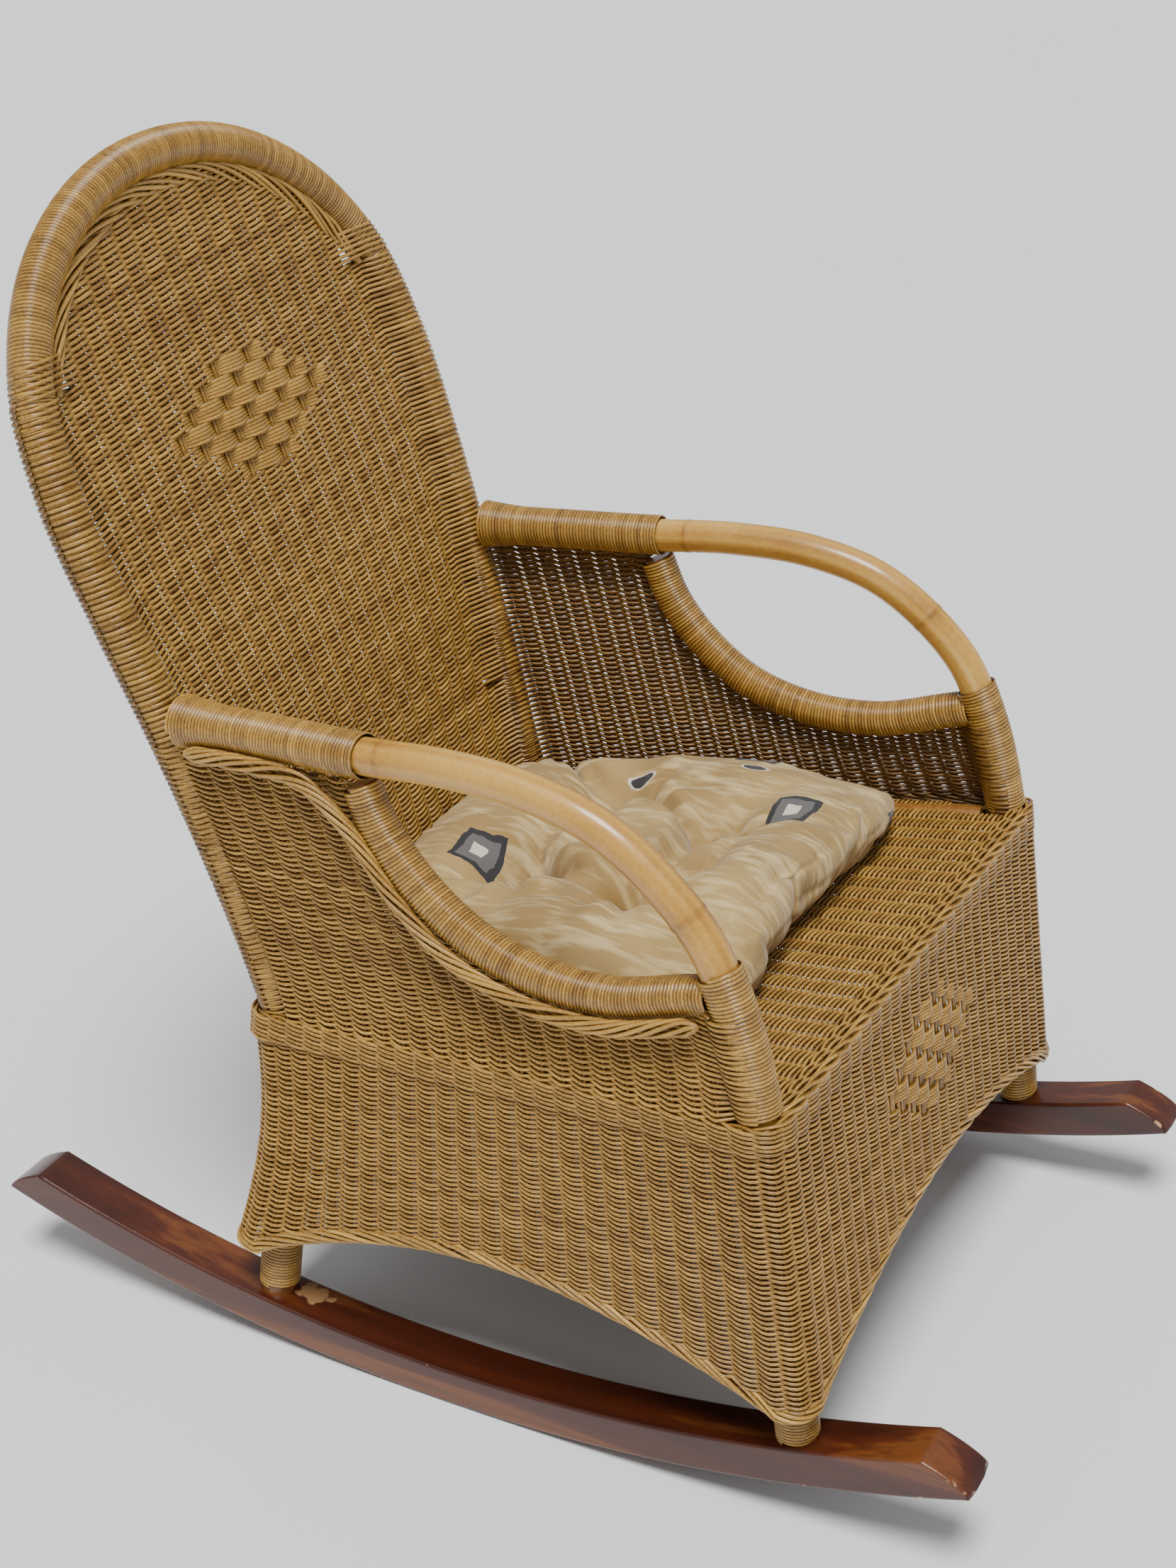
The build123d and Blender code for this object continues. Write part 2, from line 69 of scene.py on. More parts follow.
# Floor and light.
FLOOR_HALF = 9
ROOM_COLOUR = (0.93, 0.96, 1.0, 1)
ROOM_STRENGTH = 0.42
SUN_PLACE = (-0.9, -0.5, 3.0)
SUN_STRENGTH = 3.6
SUN_SPREAD = math.radians(24.0)

# Rockers.
ROCKER_X = 250.0
ROCKER_WIDTH = 42.6
ROCKER_THICKNESS = 34.0
ROCKER_FRONT_TOP_DEG = -15.8
ROCKER_FRONT_TIP_DEG = -17.1
ROCKER_BACK_TOP_DEG = 21.1
ROCKER_BACK_TIP_DEG = 22.3
ROCKER_EDGE = 2.6
GLUE_PLACE = (-243.0, 456.0, -8.0)

# Poles and their wraps.
POLE_RADIUS = 14.5
POLE_SIDES = 32
ARM_POINTS = [
    (229.0, 499.5, 518.5),
    (234.5, 410.0, 519.0),
    (241.0, 324.0, 519.0),
    (244.6, 250.0, 521.0),
    (248.2, 179.0, 514.5),
    (251.2, 120.0, 495.0),
    (253.6, 75.0, 460.0),
    (255.0, 46.0, 424.0),
    (256.2, 26.0, 372.0),
    (257.0, 11.0, 290.0),
    (254.0, 5.0, 150.0),
    (250.0, 0.0, -9.0),
]
RAIL_POINTS = [
    (241.4, 329.0, 497.0),
    (242.0, 317.0, 462.0),
    (243.4, 289.0, 421.0),
    (245.6, 246.0, 385.0),
    (249.0, 192.0, 365.0),
    (252.2, 130.0, 361.0),
    (255.0, 54.5, 378.5),
    (255.6, 41.0, 381.5),
]
FRAME_POINTS = [
    (250.0, 487.0, -9.0),
    (241.0, 478.0, 50.0),
    (226.0, 467.0, 110.0),
    (211.0, 461.0, 180.0),
    (206.0, 463.0, 235.0),
    (207.5, 472.0, 290.0),
    (215.5, 493.0, 398.0),
    (225.0, 517.2, 501.0),
    (235.0, 543.7, 599.0),
    (239.5, 571.0, 696.6),
    (225.2, 592.1, 772.8),
    (183.7, 608.6, 833.5),
    (120.3, 620.1, 877.3),
    (54.0, 625.6, 898.5),
    (0.0, 626.8, 903.0),
]
BRAID_POINTS = [
    (248.0, 488.0, 501.0),
    (251.5, 430.0, 502.0),
    (254.0, 374.0, 495.0),
    (256.0, 336.0, 462.0),
    (257.5, 303.0, 412.0),
    (260.5, 262.0, 373.0),
    (265.0, 200.0, 349.0),
    (269.5, 130.0, 345.0),
    (274.0, 46.0, 365.0),
]

# Cushion, in its own frame: across, back along the seat from its front, and up off the seat.
SEAT_SLOPE = -31.0 / 450.0
CUSHION_FRONT_Y = 72.0
CUSHION_DEPTH = 374.0
CUSHION_REST_Z = 287.9
CUSHION_FRONT_HALF = 214.0
CUSHION_BACK_HALF = 182.0
CUSHION_THICKNESS = 84.0
CUSHION_SHRINK = 20.0
CUSHION_SIDE_PULL = 5.0
CUSHION_RIM = 20.0
CUSHION_CROWN = 40.0
CUSHION_MIDDLE = 32.0
CUSHION_SEAM = 34.0
CUSHION_UNDERSIDE = 1.3
CUSHION_VOXEL = 0.0055
CUSHION_CAP = 0.03
CUSHION_SLACK = -0.16
BLANK_ACROSS = 60
BLANK_DEEP = 56
CLOTH_FRAMES = 20
# Each tuft: across, back from the front edge, and depth.
TUFTS = [
    (-62.0, 133.0, 46.0),
    (-52.0, 237.0, 48.0),
    (72.0, 212.0, 44.0),
    (44.0, 120.0, 42.0),
    (142.0, 318.0, 20.0),
]
TUFT_WIDTH = 26.0
TUFT_HOLD = 7.0
FULL_TUFT = 46.0
# Creases run between these pairs of tufts.
CREASES = [(0, 1), (1, 2), (2, 3), (3, 0), (2, 4)]
CREASE_DEPTH = 22.0
CREASE_WIDTH = 11.0
PLEAT_HEIGHT = 4.6
PLEAT_REACH = 24.0
PUCKER_HEIGHT = 2.0
PUCKER_REACH = 48.0
SEAM_DEPTH = 2.2
SEAM_HEIGHT = 2.6

# Woven walls.
WALL_FRONT_TOP = (279.0, -9.0, 292.0)
WALL_FRONT_BOTTOM = (280.0, -21.0, 40.0)
WALL_BACK_TOP = (224.5, 490.0, 257.0)
WALL_BACK_BOTTOM = (271.0, 509.0, 54.0)
WALL_CORNER = 24.0
SIDE_RISE = 58.0
FRONT_RISE = 52.0
BACK_RISE = 40.0
REAR_BOW = 12.0
REAR_BOW_FROM_Y = 350.0
REAR_BOW_OVER = 120.0
WALL_STEPS = 80
CORNER_STEPS = 16
STAKES_ROUND = 104
HALF_ROUND = STAKES_ROUND // 2
MOST_ROWS = 70
BAND_ROWS = 6
BAND_PITCH = 3.7
ROWS_START = 24.0
ROW_PITCH = 4.55
STRAND_RADIUS = 1.37
STAKE_RADIUS = 1.6
STAKE_SPREAD = 1.75
REACH = 2.8
STEPS_PER_STAKE = 6
STRAND_SIDES = 6
# Painted light on each strand's face and painted shade on its back, added to its tone.
STRAND_PAINTED_SHADING = 0.2
STAKE_TONE = 0.42
ROPE_STRANDS = 7
MOST_TRIANGLES = 180_000

# Woven back, between the posts of the back frame.
BACK_LOW_Z = 251.45
BACK_HIGH_Z = 886.0
BACK_PITCH = 4.45
BACK_UP = (0.0, 0.26, 0.96)
BACK_STRAND = 1.72
BACK_STAKES = 10
BACK_STAKE_LOW_Z = 248.0
BACK_STAKE_HIGH_Z = 890.0
NINTH_STAKE_Z = (262.0, 364.0, 404.0, 455.0, 553.0, 600.0, 940.0)
NINTH_STAKE_X = (160.0, 168.0, 182.0, 189.0, 199.0, 206.0, 206.0)
ARCH_PLAIT_LOW_Z = 796.0
ARCH_PLAIT_INSET = 22.5
POLE_WIND = 17.3
ROUND_POLE_FORK = 1.1

# Diamonds of block weave on the back and the front.
BLOCK_HEIGHT = 13.35
BLOCK_ROWS = 3
BLOCK_STRANDS = 5
BLOCK_SPREAD = 2.75
BLOCK_STRAND = 1.65
DIAMOND_REACH = 4.45
BACK_DIAMOND_Z = 692.0
FRONT_DIAMOND_Z = 197.0

# Woven panels under the arms.
PANEL_FLARE = 50.0
PANEL_ROWS = 51
PANEL_STAKES = 21
PANEL_FRONT_MARGIN = 26.0
PANEL_REAR_MARGIN = 27.0
PANEL_HIGH_Z = 502.0
PANEL_TOP_Y = (54.5, 130.0, 192.0, 246.0, 289.0, 317.0, 329.0, 340.0)
PANEL_TOP_Z = (374.0, 357.0, 361.0, 381.0, 417.0, 458.0, 493.0, 503.0)
FRONT_POLE_X = 257.0
FRONT_POLE_Z = (290.0, 404.0, 520.0)
FRONT_POLE_Y = (11.0, 36.5, 50.0)

# Woven seat.
SEAT_PITCH = 4.4
SEAT_BACK_Y = 472.0
SEAT_SIDE_Y = (5.0, 46.0, 62.0, 440.0, 446.0, 480.0)
SEAT_SIDE_X = (238.0, 238.0, 257.0, 217.5, 186.0, 184.0)
SEAT_STAKES = 13
CUSHION_HIDES_Y = 210.0
EDGE_TURNS = (30.0, 56.0, 82.0, 104.0)
EDGE_RADIUS = 8.5
EDGE_Z = 283.5
EDGE_HALF = 262.0

# Wraps: name, pole, radius, and the stretch that each covers in Y and in Z.
ANYWHERE = (-math.inf, math.inf)
WIND_PITCH = 3.0
WIND_SIDES = 20
WIND_RINGS = 6
ARCH_WRAP_RADIUS = 17.2
ARCH_WRAP_Z = (292.0, math.inf)
ARM_WRAP_FLARE = 4.0
WRAPS = [
    ("arm", ARM_POINTS, 17.8, (320.0, 500.0), ANYWHERE),
    ("post", ARM_POINTS, 17.4, (-math.inf, 60.0), (290.0, 404.0)),
    ("front_leg", ARM_POINTS, 17.4, (-math.inf, 60.0), (-3.0, 80.0)),
    ("lower_rail", RAIL_POINTS, 15.4, ANYWHERE, ANYWHERE),
    ("rear_leg", FRAME_POINTS, 17.4, ANYWHERE, (1.0, 92.0)),
]

# Places of the rings on each bare pole, along it from the back.
POLE_RINGS = {"left": [205.0, 438.0], "right": [196.0, 468.0]}

# CAD parts that the walls and borders stand for, and CAD parts that stay as they are.
SIDES = ((1, "left"), (-1, "right"))
SKIRT_NODES = ["side_skirt_left", "side_skirt_right", "front_skirt", "rear_skirt"]
BORDER_NODES = ["side_border_left", "side_border_right", "front_border", "rear_border"]
CARRIED_NODES = [
    "back_frame",
    "lower_rail_left",
    "lower_rail_right",
    "seat_side_rail_left",
    "seat_side_rail_right",
    "seat_front_rail",
    "seat_rear_rail",
]


def settle(points):
    """Chair-frame millimetres to metres on the floor."""
    p = np.asarray(points, float)
    dy = p[..., 1] - ROCKER_CENTRE_Y
    dz = p[..., 2] - ROCKER_CENTRE_Z
    y = dy * math.cos(REST_TILT) + dz * math.sin(REST_TILT) + ROCKER_CENTRE_Y - BOX_MIDDLE_Y
    z = -dy * math.sin(REST_TILT) + dz * math.cos(REST_TILT) + ROCKER_FOOT_RADIUS
    return np.stack([p[..., 0], y, z], -1) * 0.001


def unit(v):
    return v / np.maximum(np.linalg.norm(v, axis=-1, keepdims=True), 1e-9)


def lengths_along(path):
    """Distance from the start of a path to each of its points."""
    return np.concatenate([[0.0], np.cumsum(np.linalg.norm(np.diff(path, axis=0), axis=1))])


def points_at(places, knots, values):
    """Points or directions at places along a path, from those at its knots."""
    return np.stack([np.interp(places, knots, values[:, i]) for i in range(3)], -1)


def square_to(direction, along):
    """A direction made square to a path."""
    return unit(direction - along * np.sum(direction * along, -1, keepdims=True))


def all_along(path, direction):
    """The same direction for each point of a path."""
    return np.repeat([direction], len(path), 0)


def spline(points, step):
    """Points about a step apart along a smooth curve through the given ones."""
    p = np.asarray(points, float)
    knots = lengths_along(p)
    slopes = np.gradient(p, knots, axis=0)
    fine = np.linspace(0.0, knots[-1], max(8, int(knots[-1])))
    k = np.clip(np.searchsorted(knots, fine, side="right") - 1, 0, len(p) - 2)
    gap = (knots[k + 1] - knots[k])[:, None]
    t = ((fine - knots[k])[:, None]) / gap
    a = (2 * t**3 - 3 * t**2 + 1) * p[k] + (t**3 - 2 * t**2 + t) * gap * slopes[k]
    b = (3 * t**2 - 2 * t**3) * p[k + 1] + (t**3 - t**2) * gap * slopes[k + 1]
    curve = a + b
    travelled = lengths_along(curve)
    count = max(3, int(round(travelled[-1] / step)) + 1)
    return points_at(np.linspace(0.0, travelled[-1], count), travelled, curve)


def mirrored(points):
    p = np.array(points, float)
    p[..., 0] *= -1
    return p


def carried_frame(path):
    """Normal and side directions of a path, with the normal carried along it without twisting."""
    along = unit(np.gradient(path, axis=0))
    normal = np.empty_like(path)
    n = np.array([1.0, 0.0, 0.0])
    for i, a in enumerate(along):
        n = n - a * np.dot(n, a)
        n = n / np.linalg.norm(n)
        normal[i] = n
    return normal, np.cross(along, normal)


def round_tube(path, a, b, size, sides):
    """Rings of points round a path, in the plane of two directions square to it."""
    angle = np.linspace(0, 2 * math.pi, sides, endpoint=False)
    ring = a[:, None] * np.cos(angle)[None, :, None] + b[:, None] * np.sin(angle)[None, :, None]
    return path[:, None] + ring * size[:, None, None], angle


class Bag:
    """Gathers grids of points, each a tube of rings, and makes them into pieces."""

    def __init__(self):
        self.grids = []

    def add(self, points, tone, shift=0):
        self.grids.append((points, tone, shift))

    def mirror(self):
        """The same tubes on the other side of the chair."""
        other = Bag()
        for points, tone, shift in self.grids:
            flipped = mirrored(points)[::-1]
            other.add(flipped, tone[::-1], -shift)
        return other

    def pieces(self, name, material, slot, nodes=()):
        """Pieces with up to MOST_TRIANGLES triangles each, riding on the chair."""
        groups = [[]]
        load = 0
        for grid in self.grids:
            size = 2 * grid[0].shape[0] * grid[0].shape[1]
            if load + size > MOST_TRIANGLES and groups[-1]:
                groups.append([])
                load = 0
            groups[-1].append(grid)
            load += size
        made = []
        for number, group in enumerate(groups):
            label = name if len(groups) == 1 else f"{name}_{number + 1}"
            made.append(grid_object(label, group, material))
            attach(made[-1], "chair")
        if nodes:
            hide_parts(*nodes)
        return made


def grid_quads(rings, sides, shift):
    """Corner indices of one tube's quads. A shift joins each ring's end to the start of a later ring."""
    i = np.repeat(np.arange(rings - 1), sides)
    k = np.tile(np.arange(sides), rings - 1)
    last = k == sides - 1
    jump = np.where(last, shift, 0)
    next_k = np.where(last, 0, k + 1)
    low, high = i + jump, i + 1 + jump
    inside = (low >= 0) & (high < rings)
    corners = [i * sides + k, low * sides + next_k, high * sides + next_k, (i + 1) * sides + k]
    quads = np.stack(corners, 1)
    spots = np.stack([i, i, i + 1, i + 1], 1), np.stack([k, k + 1, k + 1, k], 1)
    return quads[inside], spots[0][inside], spots[1][inside]


def grid_object(name, grids, material):
    """One mesh from many tubes, with a tone for each point, which on strands and wraps holds painted light
    and painted shade too, and a map that gives each tube its strip.
    """
    points, tones, quads, maps = [], [], [], []
    first = 0
    for number, (grid, tone, shift) in enumerate(grids):
        rings, sides = grid.shape[:2]
        found, ring, side = grid_quads(rings, sides, shift)
        quads.append(found + first)
        u = ring / (rings - 1)
        v = (number + 0.06 + 0.88 * side / sides) / len(grids)
        maps.append(np.stack([u, v], -1).reshape(-1, 2))
        points.append(grid.reshape(-1, 3))
        tones.append(np.broadcast_to(tone, (rings, sides)).ravel())
        first += rings * sides
    mesh = bpy.data.meshes.new(name)
    quads = np.concatenate(quads)
    mesh.vertices.add(first)
    mesh.vertices.foreach_set("co", settle(np.concatenate(points)).astype(np.float32).ravel())
    mesh.loops.add(quads.size)
    mesh.loops.foreach_set("vertex_index", quads.astype(np.int32).ravel())
    mesh.polygons.add(len(quads))
    mesh.polygons.foreach_set("loop_start", np.arange(0, quads.size, 4, dtype=np.int32))
    mesh.update(calc_edges=True)
    mesh.polygons.foreach_set("use_smooth", np.ones(len(quads), bool))
    layer = mesh.uv_layers.new(name="OFBake")
    layer.uv.foreach_set("vector", np.concatenate(maps).astype(np.float32).ravel())
    shade = mesh.attributes.new("tone", "FLOAT", "POINT")
    shade.data.foreach_set("value", np.concatenate(tones).astype(np.float32))
    mesh.materials.append(material)
    thing = bpy.data.objects.new(name, mesh)
    bpy.context.scene.collection.objects.link(thing)
    return thing


def strand(bag, centre, face, radius, tone):
    """A round strand along a centre line, closed at its ends, with painted light on its face and painted
    shade on its back.
    """
    along = unit(np.gradient(centre, axis=0))
    up = square_to(face, along)
    size = np.full(len(centre), radius)
    size[[0, -1]] *= 0.1
    points, angle = round_tube(centre, up, np.cross(along, up), size, STRAND_SIDES)
    # Painted light on the face of the strand and painted shade on its back, by the angle round it.
    shade = tone + STRAND_PAINTED_SHADING * np.cos(angle)[None, :] + np.zeros((len(centre), 1))
    bag.add(points, shade)


def strand_tone():
    return float(np.clip(rng.normal(0.5, 0.06), 0.05, 0.95))


def twisted(
    bag, path, up, phase, out=REACH, inn=REACH,
    lift=1.15, count=2, hand=-1.0, dip=0.3, radius=STRAND_RADIUS, fork=0.0,
):
    """Strands that twist about a path: each passes in front of one stake and behind the next.

    They stand off the path by out in front and by inn behind. They rise and fall by lift as they cross,
    are bent by dip beside the stakes and drawn apart by fork.
    """
    along = unit(np.gradient(path, axis=0))
    up = square_to(up, along)
    face = np.cross(along, up)
    wobble = rng.normal(0.0, 0.12, 2)
    for number in range(count):
        angle = 2 * math.pi * (phase + number) / count
        across = np.cos(angle)
        depth = np.where(across > 0, out, inn) * across
        height = lift * (hand * np.sin(angle) - dip * np.cos(2 * angle)) + wobble[number % 2]
        height = height + fork * (1 - 2 * (number % 2))
        centre = path + face * depth[:, None] + up * height[:, None]
        strand(bag, centre, face, radius * rng.uniform(0.93, 1.07), strand_tone())


def runs(mask, shortest=4):
    """Index ranges where a mask holds."""
    edges = np.flatnonzero(np.diff(np.concatenate([[0], mask.astype(int), [0]])))
    return [(a, b) for a, b in zip(edges[::2], edges[1::2]) if b - a >= shortest]


# ---------------------------------------------------------------- walls below the seat


def rounded_loop(front, back):
    """A closed plan outline with rounded corners, from the middle of the front round by the left.

    Beside each point comes its share of the way along its wall, with ten added for each wall before it.
    """
    corners = [front, back, (-back[0], back[1], back[2]), (-front[0], front[1], front[2])]
    middle_front = np.array([0.0, front[1], front[2]])
    points, shares = [], []
    start = before = middle_front
    for number, corner in enumerate(corners):
        corner = np.array(corner, float)
        after = np.array(corners[(number + 1) % 4], float)
        enter = corner + unit(before - corner) * WALL_CORNER
        leave = corner + unit(after - corner) * WALL_CORNER
        t = np.linspace(0, 1, WALL_STEPS, endpoint=False)[:, None]
        points.append(start + (enter - start) * t)
        first_share = 0.5 if number == 0 else 0.0
        shares.append(np.linspace(first_share, 1.0, WALL_STEPS, endpoint=False) + number * 10)
        t = np.linspace(0, 1, CORNER_STEPS, endpoint=False)[:, None]
        points.append((1 - t) ** 2 * enter + 2 * t * (1 - t) * corner + t**2 * leave)
        shares.append(np.full(CORNER_STEPS, number * 10 + 1.0))
        start = leave
        before = corner
    t = np.linspace(0, 1, WALL_STEPS)[:, None]
    points.append(start + (middle_front - start) * t)
    shares.append(np.linspace(0.0, 0.5, WALL_STEPS))
    return np.concatenate(points), np.concatenate(shares)


loop_top, loop_share = rounded_loop(WALL_FRONT_TOP, WALL_BACK_TOP)
loop_bottom, _ = rounded_loop(WALL_FRONT_BOTTOM, WALL_BACK_BOTTOM)
loop_length = lengths_along((loop_top + loop_bottom) / 2)
stake_pitch = loop_length[-1] / STAKES_ROUND


def loop_place(stakes):
    """Distance round the wall to places counted in stakes from the middle of the front."""
    return np.mod(np.asarray(stakes, float) * stake_pitch, loop_length[-1])


def loop_at(stakes):
    """Top and bottom points of the wall at places counted in stakes."""
    place = loop_place(stakes)
    return points_at(place, loop_length, loop_top), points_at(place, loop_length, loop_bottom)


def wall_point(stakes, drop):
    """Points of the wall a distance down from its top, with the rear drawn in half-way down."""
    top, bottom = loop_at(stakes)
    down = bottom - top
    path = top + unit(down) * drop[:, None]
    share = np.clip(drop / np.linalg.norm(down, axis=1), 0, 1)
    rear = np.clip((top[:, 1] - REAR_BOW_FROM_Y) / REAR_BOW_OVER, 0, 1) ** 1.5
    drawn = REAR_BOW * np.sin(math.pi * share) * rear
    to_corner = np.clip(np.abs(path[:, 0]) / 60.0 - 1.5, 0, 1)
    path[:, 1] -= drawn
    path[:, 0] -= 0.4 * drawn * np.sign(path[:, 0]) * to_corner
    return path


def loop_arch(stakes):
    """How far the lower edge rises above the line between its corners, and the bow along a side."""
    bow = np.sin(math.pi * np.clip(np.mod(loop_share, 10), 0, 1))
    wall = np.floor(loop_share / 10 + 1e-6).astype(int)
    rise = np.choose(np.mod(wall, 4), [FRONT_RISE, SIDE_RISE, BACK_RISE, SIDE_RISE])
    place = loop_place(stakes)
    return np.interp(place, loop_length, rise * bow**0.8), np.interp(place, loop_length, bow)


def stakes_round():
    """Places all round the walls, counted in stakes, with a few points for each."""
    return np.linspace(-HALF_ROUND, HALF_ROUND, STAKES_ROUND * STEPS_PER_STAKE + 1)


def wall_rows(bag):
    """Twined rows round the walls, from under the seat-level band down to the arched edge."""
    stakes = stakes_round()
    top, bottom = loop_at(stakes)
    arch, bow = loop_arch(stakes)
    down = bottom - top
    fall = np.linalg.norm(down, axis=1)
    edge = fall * (1 - arch / (top[:, 2] - bottom[:, 2]))
    for number in range(MOST_ROWS):
        drop = ROWS_START + number * ROW_PITCH * (1 - 0.12 * bow)
        path = wall_point(stakes, drop)
        keep = (drop < edge - 2.0) & ~in_diamond(stakes, path[:, 2] - FRONT_DIAMOND_Z)
        for a, b in runs(keep):
            twisted(bag, path[a:b], -unit(down[a:b]), stakes[a:b])


def wall_stakes(bag):
    """Pairs of upright stakes round the walls."""
    for number in range(-HALF_ROUND, HALF_ROUND):
        for spread in (-STAKE_SPREAD, STAKE_SPREAD):
            place = number + spread / stake_pitch
            top, bottom = loop_at([place])
            arch, _ = loop_arch([place])
            length = np.linalg.norm(bottom - top)
            end = length * (1 - arch[0] / (top[0, 2] - bottom[0, 2]))
            path = wall_point([place] * 14, np.linspace(2.0, end, 14))
            outward = unit(np.cross([0, 0, 1.0], loop_at([place + 0.2])[0] - loop_at([place - 0.2])[0]))
            strand(bag, path, np.repeat(-outward, 14, 0), STAKE_RADIUS, strand_tone() - 0.1)


def wale_band(bag):
    """Rows of three-strand waling round the walls at seat level."""
    stakes = stakes_round()
    top, bottom = loop_at(stakes)
    down = unit(bottom - top)
    for number in range(BAND_ROWS):
        path = top + down * (1.5 + number * BAND_PITCH)
        twisted(bag, path, -down, stakes + number, 3.5, 2.4, lift=1.5, count=3, dip=0.0, radius=1.45)


def rope(bag, path, face, width, thick, period, radius, taper=0.0):
    """A flat rolled edge: strands that run on a long slant round and round a path."""
    along = unit(np.gradient(path, axis=0))
    face = square_to(face, along)
    across = np.cross(face, along)
    travelled = lengths_along(path)
    closing = np.ones(len(path))
    if taper:
        closing = np.clip(np.minimum(travelled, travelled[-1] - travelled) / taper, 0.12, 1) ** 0.7
    for number in range(ROPE_STRANDS):
        drift = rng.normal(0.0, 0.02) + 0.012 * np.sin(travelled / 37.0 + number * 2.1)
        turn = 2 * math.pi * (travelled / period + number / ROPE_STRANDS + drift)
        side = width * closing * np.cos(turn)
        lift = thick * closing * np.sin(turn)
        centre = path + across * side[:, None] + face * lift[:, None]
        strand(bag, centre, face, radius * rng.uniform(0.93, 1.07), strand_tone() + 0.1)


def in_span(values, span):
    return (values > span[0]) & (values < span[1])


def wound(bag, points, radius, y_span, z_span, flare=0.0):
    """Strand wound round a stretch of pole as one helix: its turns stand up as ridges, with painted shade
    in the grooves between them.

    A flare makes the start that much wider.
    """
    path = spline(points, 2.0)
    normal, side = carried_frame(path)
    travelled = lengths_along(path)
    covered = travelled[in_span(path[:, 1], y_span) & in_span(path[:, 2], z_span)]
    start, stop = covered[0], covered[-1]
    turns = max(2, int((stop - start) / WIND_PITCH))
    rings = turns * WIND_RINGS + 1
    column = np.arange(WIND_SIDES)
    place = start + (np.arange(rings)[:, None] / WIND_RINGS + column[None] / WIND_SIDES) * WIND_PITCH
    place = np.clip(place, start, stop)
    turn_tone = rng.normal(0.58, 0.07, turns + 1)
    profile = np.abs(np.sin(math.pi * np.arange(rings) / WIND_RINGS)) ** 0.8
    angle = 2 * math.pi * column / WIND_SIDES
    share = (place - start) / (stop - start)
    wide = radius + flare * np.clip(1 - share / 0.25, 0, 1) ** 1.5 - 0.95 + 1.15 * profile[:, None]
    out = points_at(place, travelled, normal) * np.cos(angle)[None, :, None]
    out = out + points_at(place, travelled, side) * np.sin(angle)[None, :, None]
    # Painted shade darkens the grooves between the turns.
    tone = turn_tone[np.arange(rings) // WIND_RINGS][:, None] - 0.5 * (1 - profile[:, None]) + 0 * place
    bag.add(points_at(place, travelled, path) + out * wide[..., None], tone, WIND_RINGS)


# ---------------------------------------------------------------- back, arm panels and seat

frame_line = spline(FRAME_POINTS, 2.0)


def frame_at(z):
    """X and Y of the back frame's pole at a height."""
    x = np.interp(z, frame_line[:, 2], frame_line[:, 0])
    return x, np.interp(z, frame_line[:, 2], frame_line[:, 1])


def round_pole_line(beyond, offset, sign):
    """How far a strand stands off the panel as it comes to a pole, passes it and goes round behind it."""
    r = POLE_WIND
    stand = np.sqrt(np.clip(1 - (np.maximum(beyond, -0.75 * r) / r) ** 2, 0.0, 1))
    share = np.clip((beyond + 1.4 * r) / (0.7 * r), 0, 1)
    return REACH * (1 - share) + (sign * offset + stand * r) * share


def diamond_row(offset_z):
    """Number of the block row at a height above the diamond's centre."""
    return np.floor(offset_z / BLOCK_HEIGHT + 0.5)


def in_diamond(stakes, offset_z):
    row = np.abs(diamond_row(offset_z))
    return (row <= BLOCK_ROWS) & (np.abs(stakes) < DIAMOND_REACH - row)


def diamond_blocks(bag, point_at, up):
    """Groups of side-by-side strands that pass in front of every other stake, row by row."""
    for row in range(-BLOCK_ROWS, BLOCK_ROWS + 1):
        reach = BLOCK_ROWS + 1 - abs(row) + 0.8
        stakes = np.linspace(-reach, reach, int(2 * reach * 8) + 1)
        phase = stakes + (1 if row % 2 == 0 else 0)
        spread = BLOCK_SPREAD + 0.18 * np.cos(math.pi * phase)
        for number in range(BLOCK_STRANDS):
            path = point_at(stakes, row * BLOCK_HEIGHT + (number - (BLOCK_STRANDS - 1) / 2) * spread)
            along = unit(np.gradient(path, axis=0))
            face = unit(np.cross(along, np.broadcast_to(up, along.shape)))
            depth = 3.1 * np.cos(math.pi * phase) + 0.6
            strand(bag, path + face * depth[:, None], face, BLOCK_STRAND, strand_tone() + 0.05)


def stake_gap(z):
    """Distance between the back's stakes at a height."""
    return np.interp(z, NINTH_STAKE_Z, NINTH_STAKE_X) / 9


def back_point(stakes, offset_z):
    z = BACK_DIAMOND_Z + offset_z
    return np.stack([stakes * stake_gap(z), frame_at(z)[1] + 0 * stakes, z + 0 * stakes], -1)


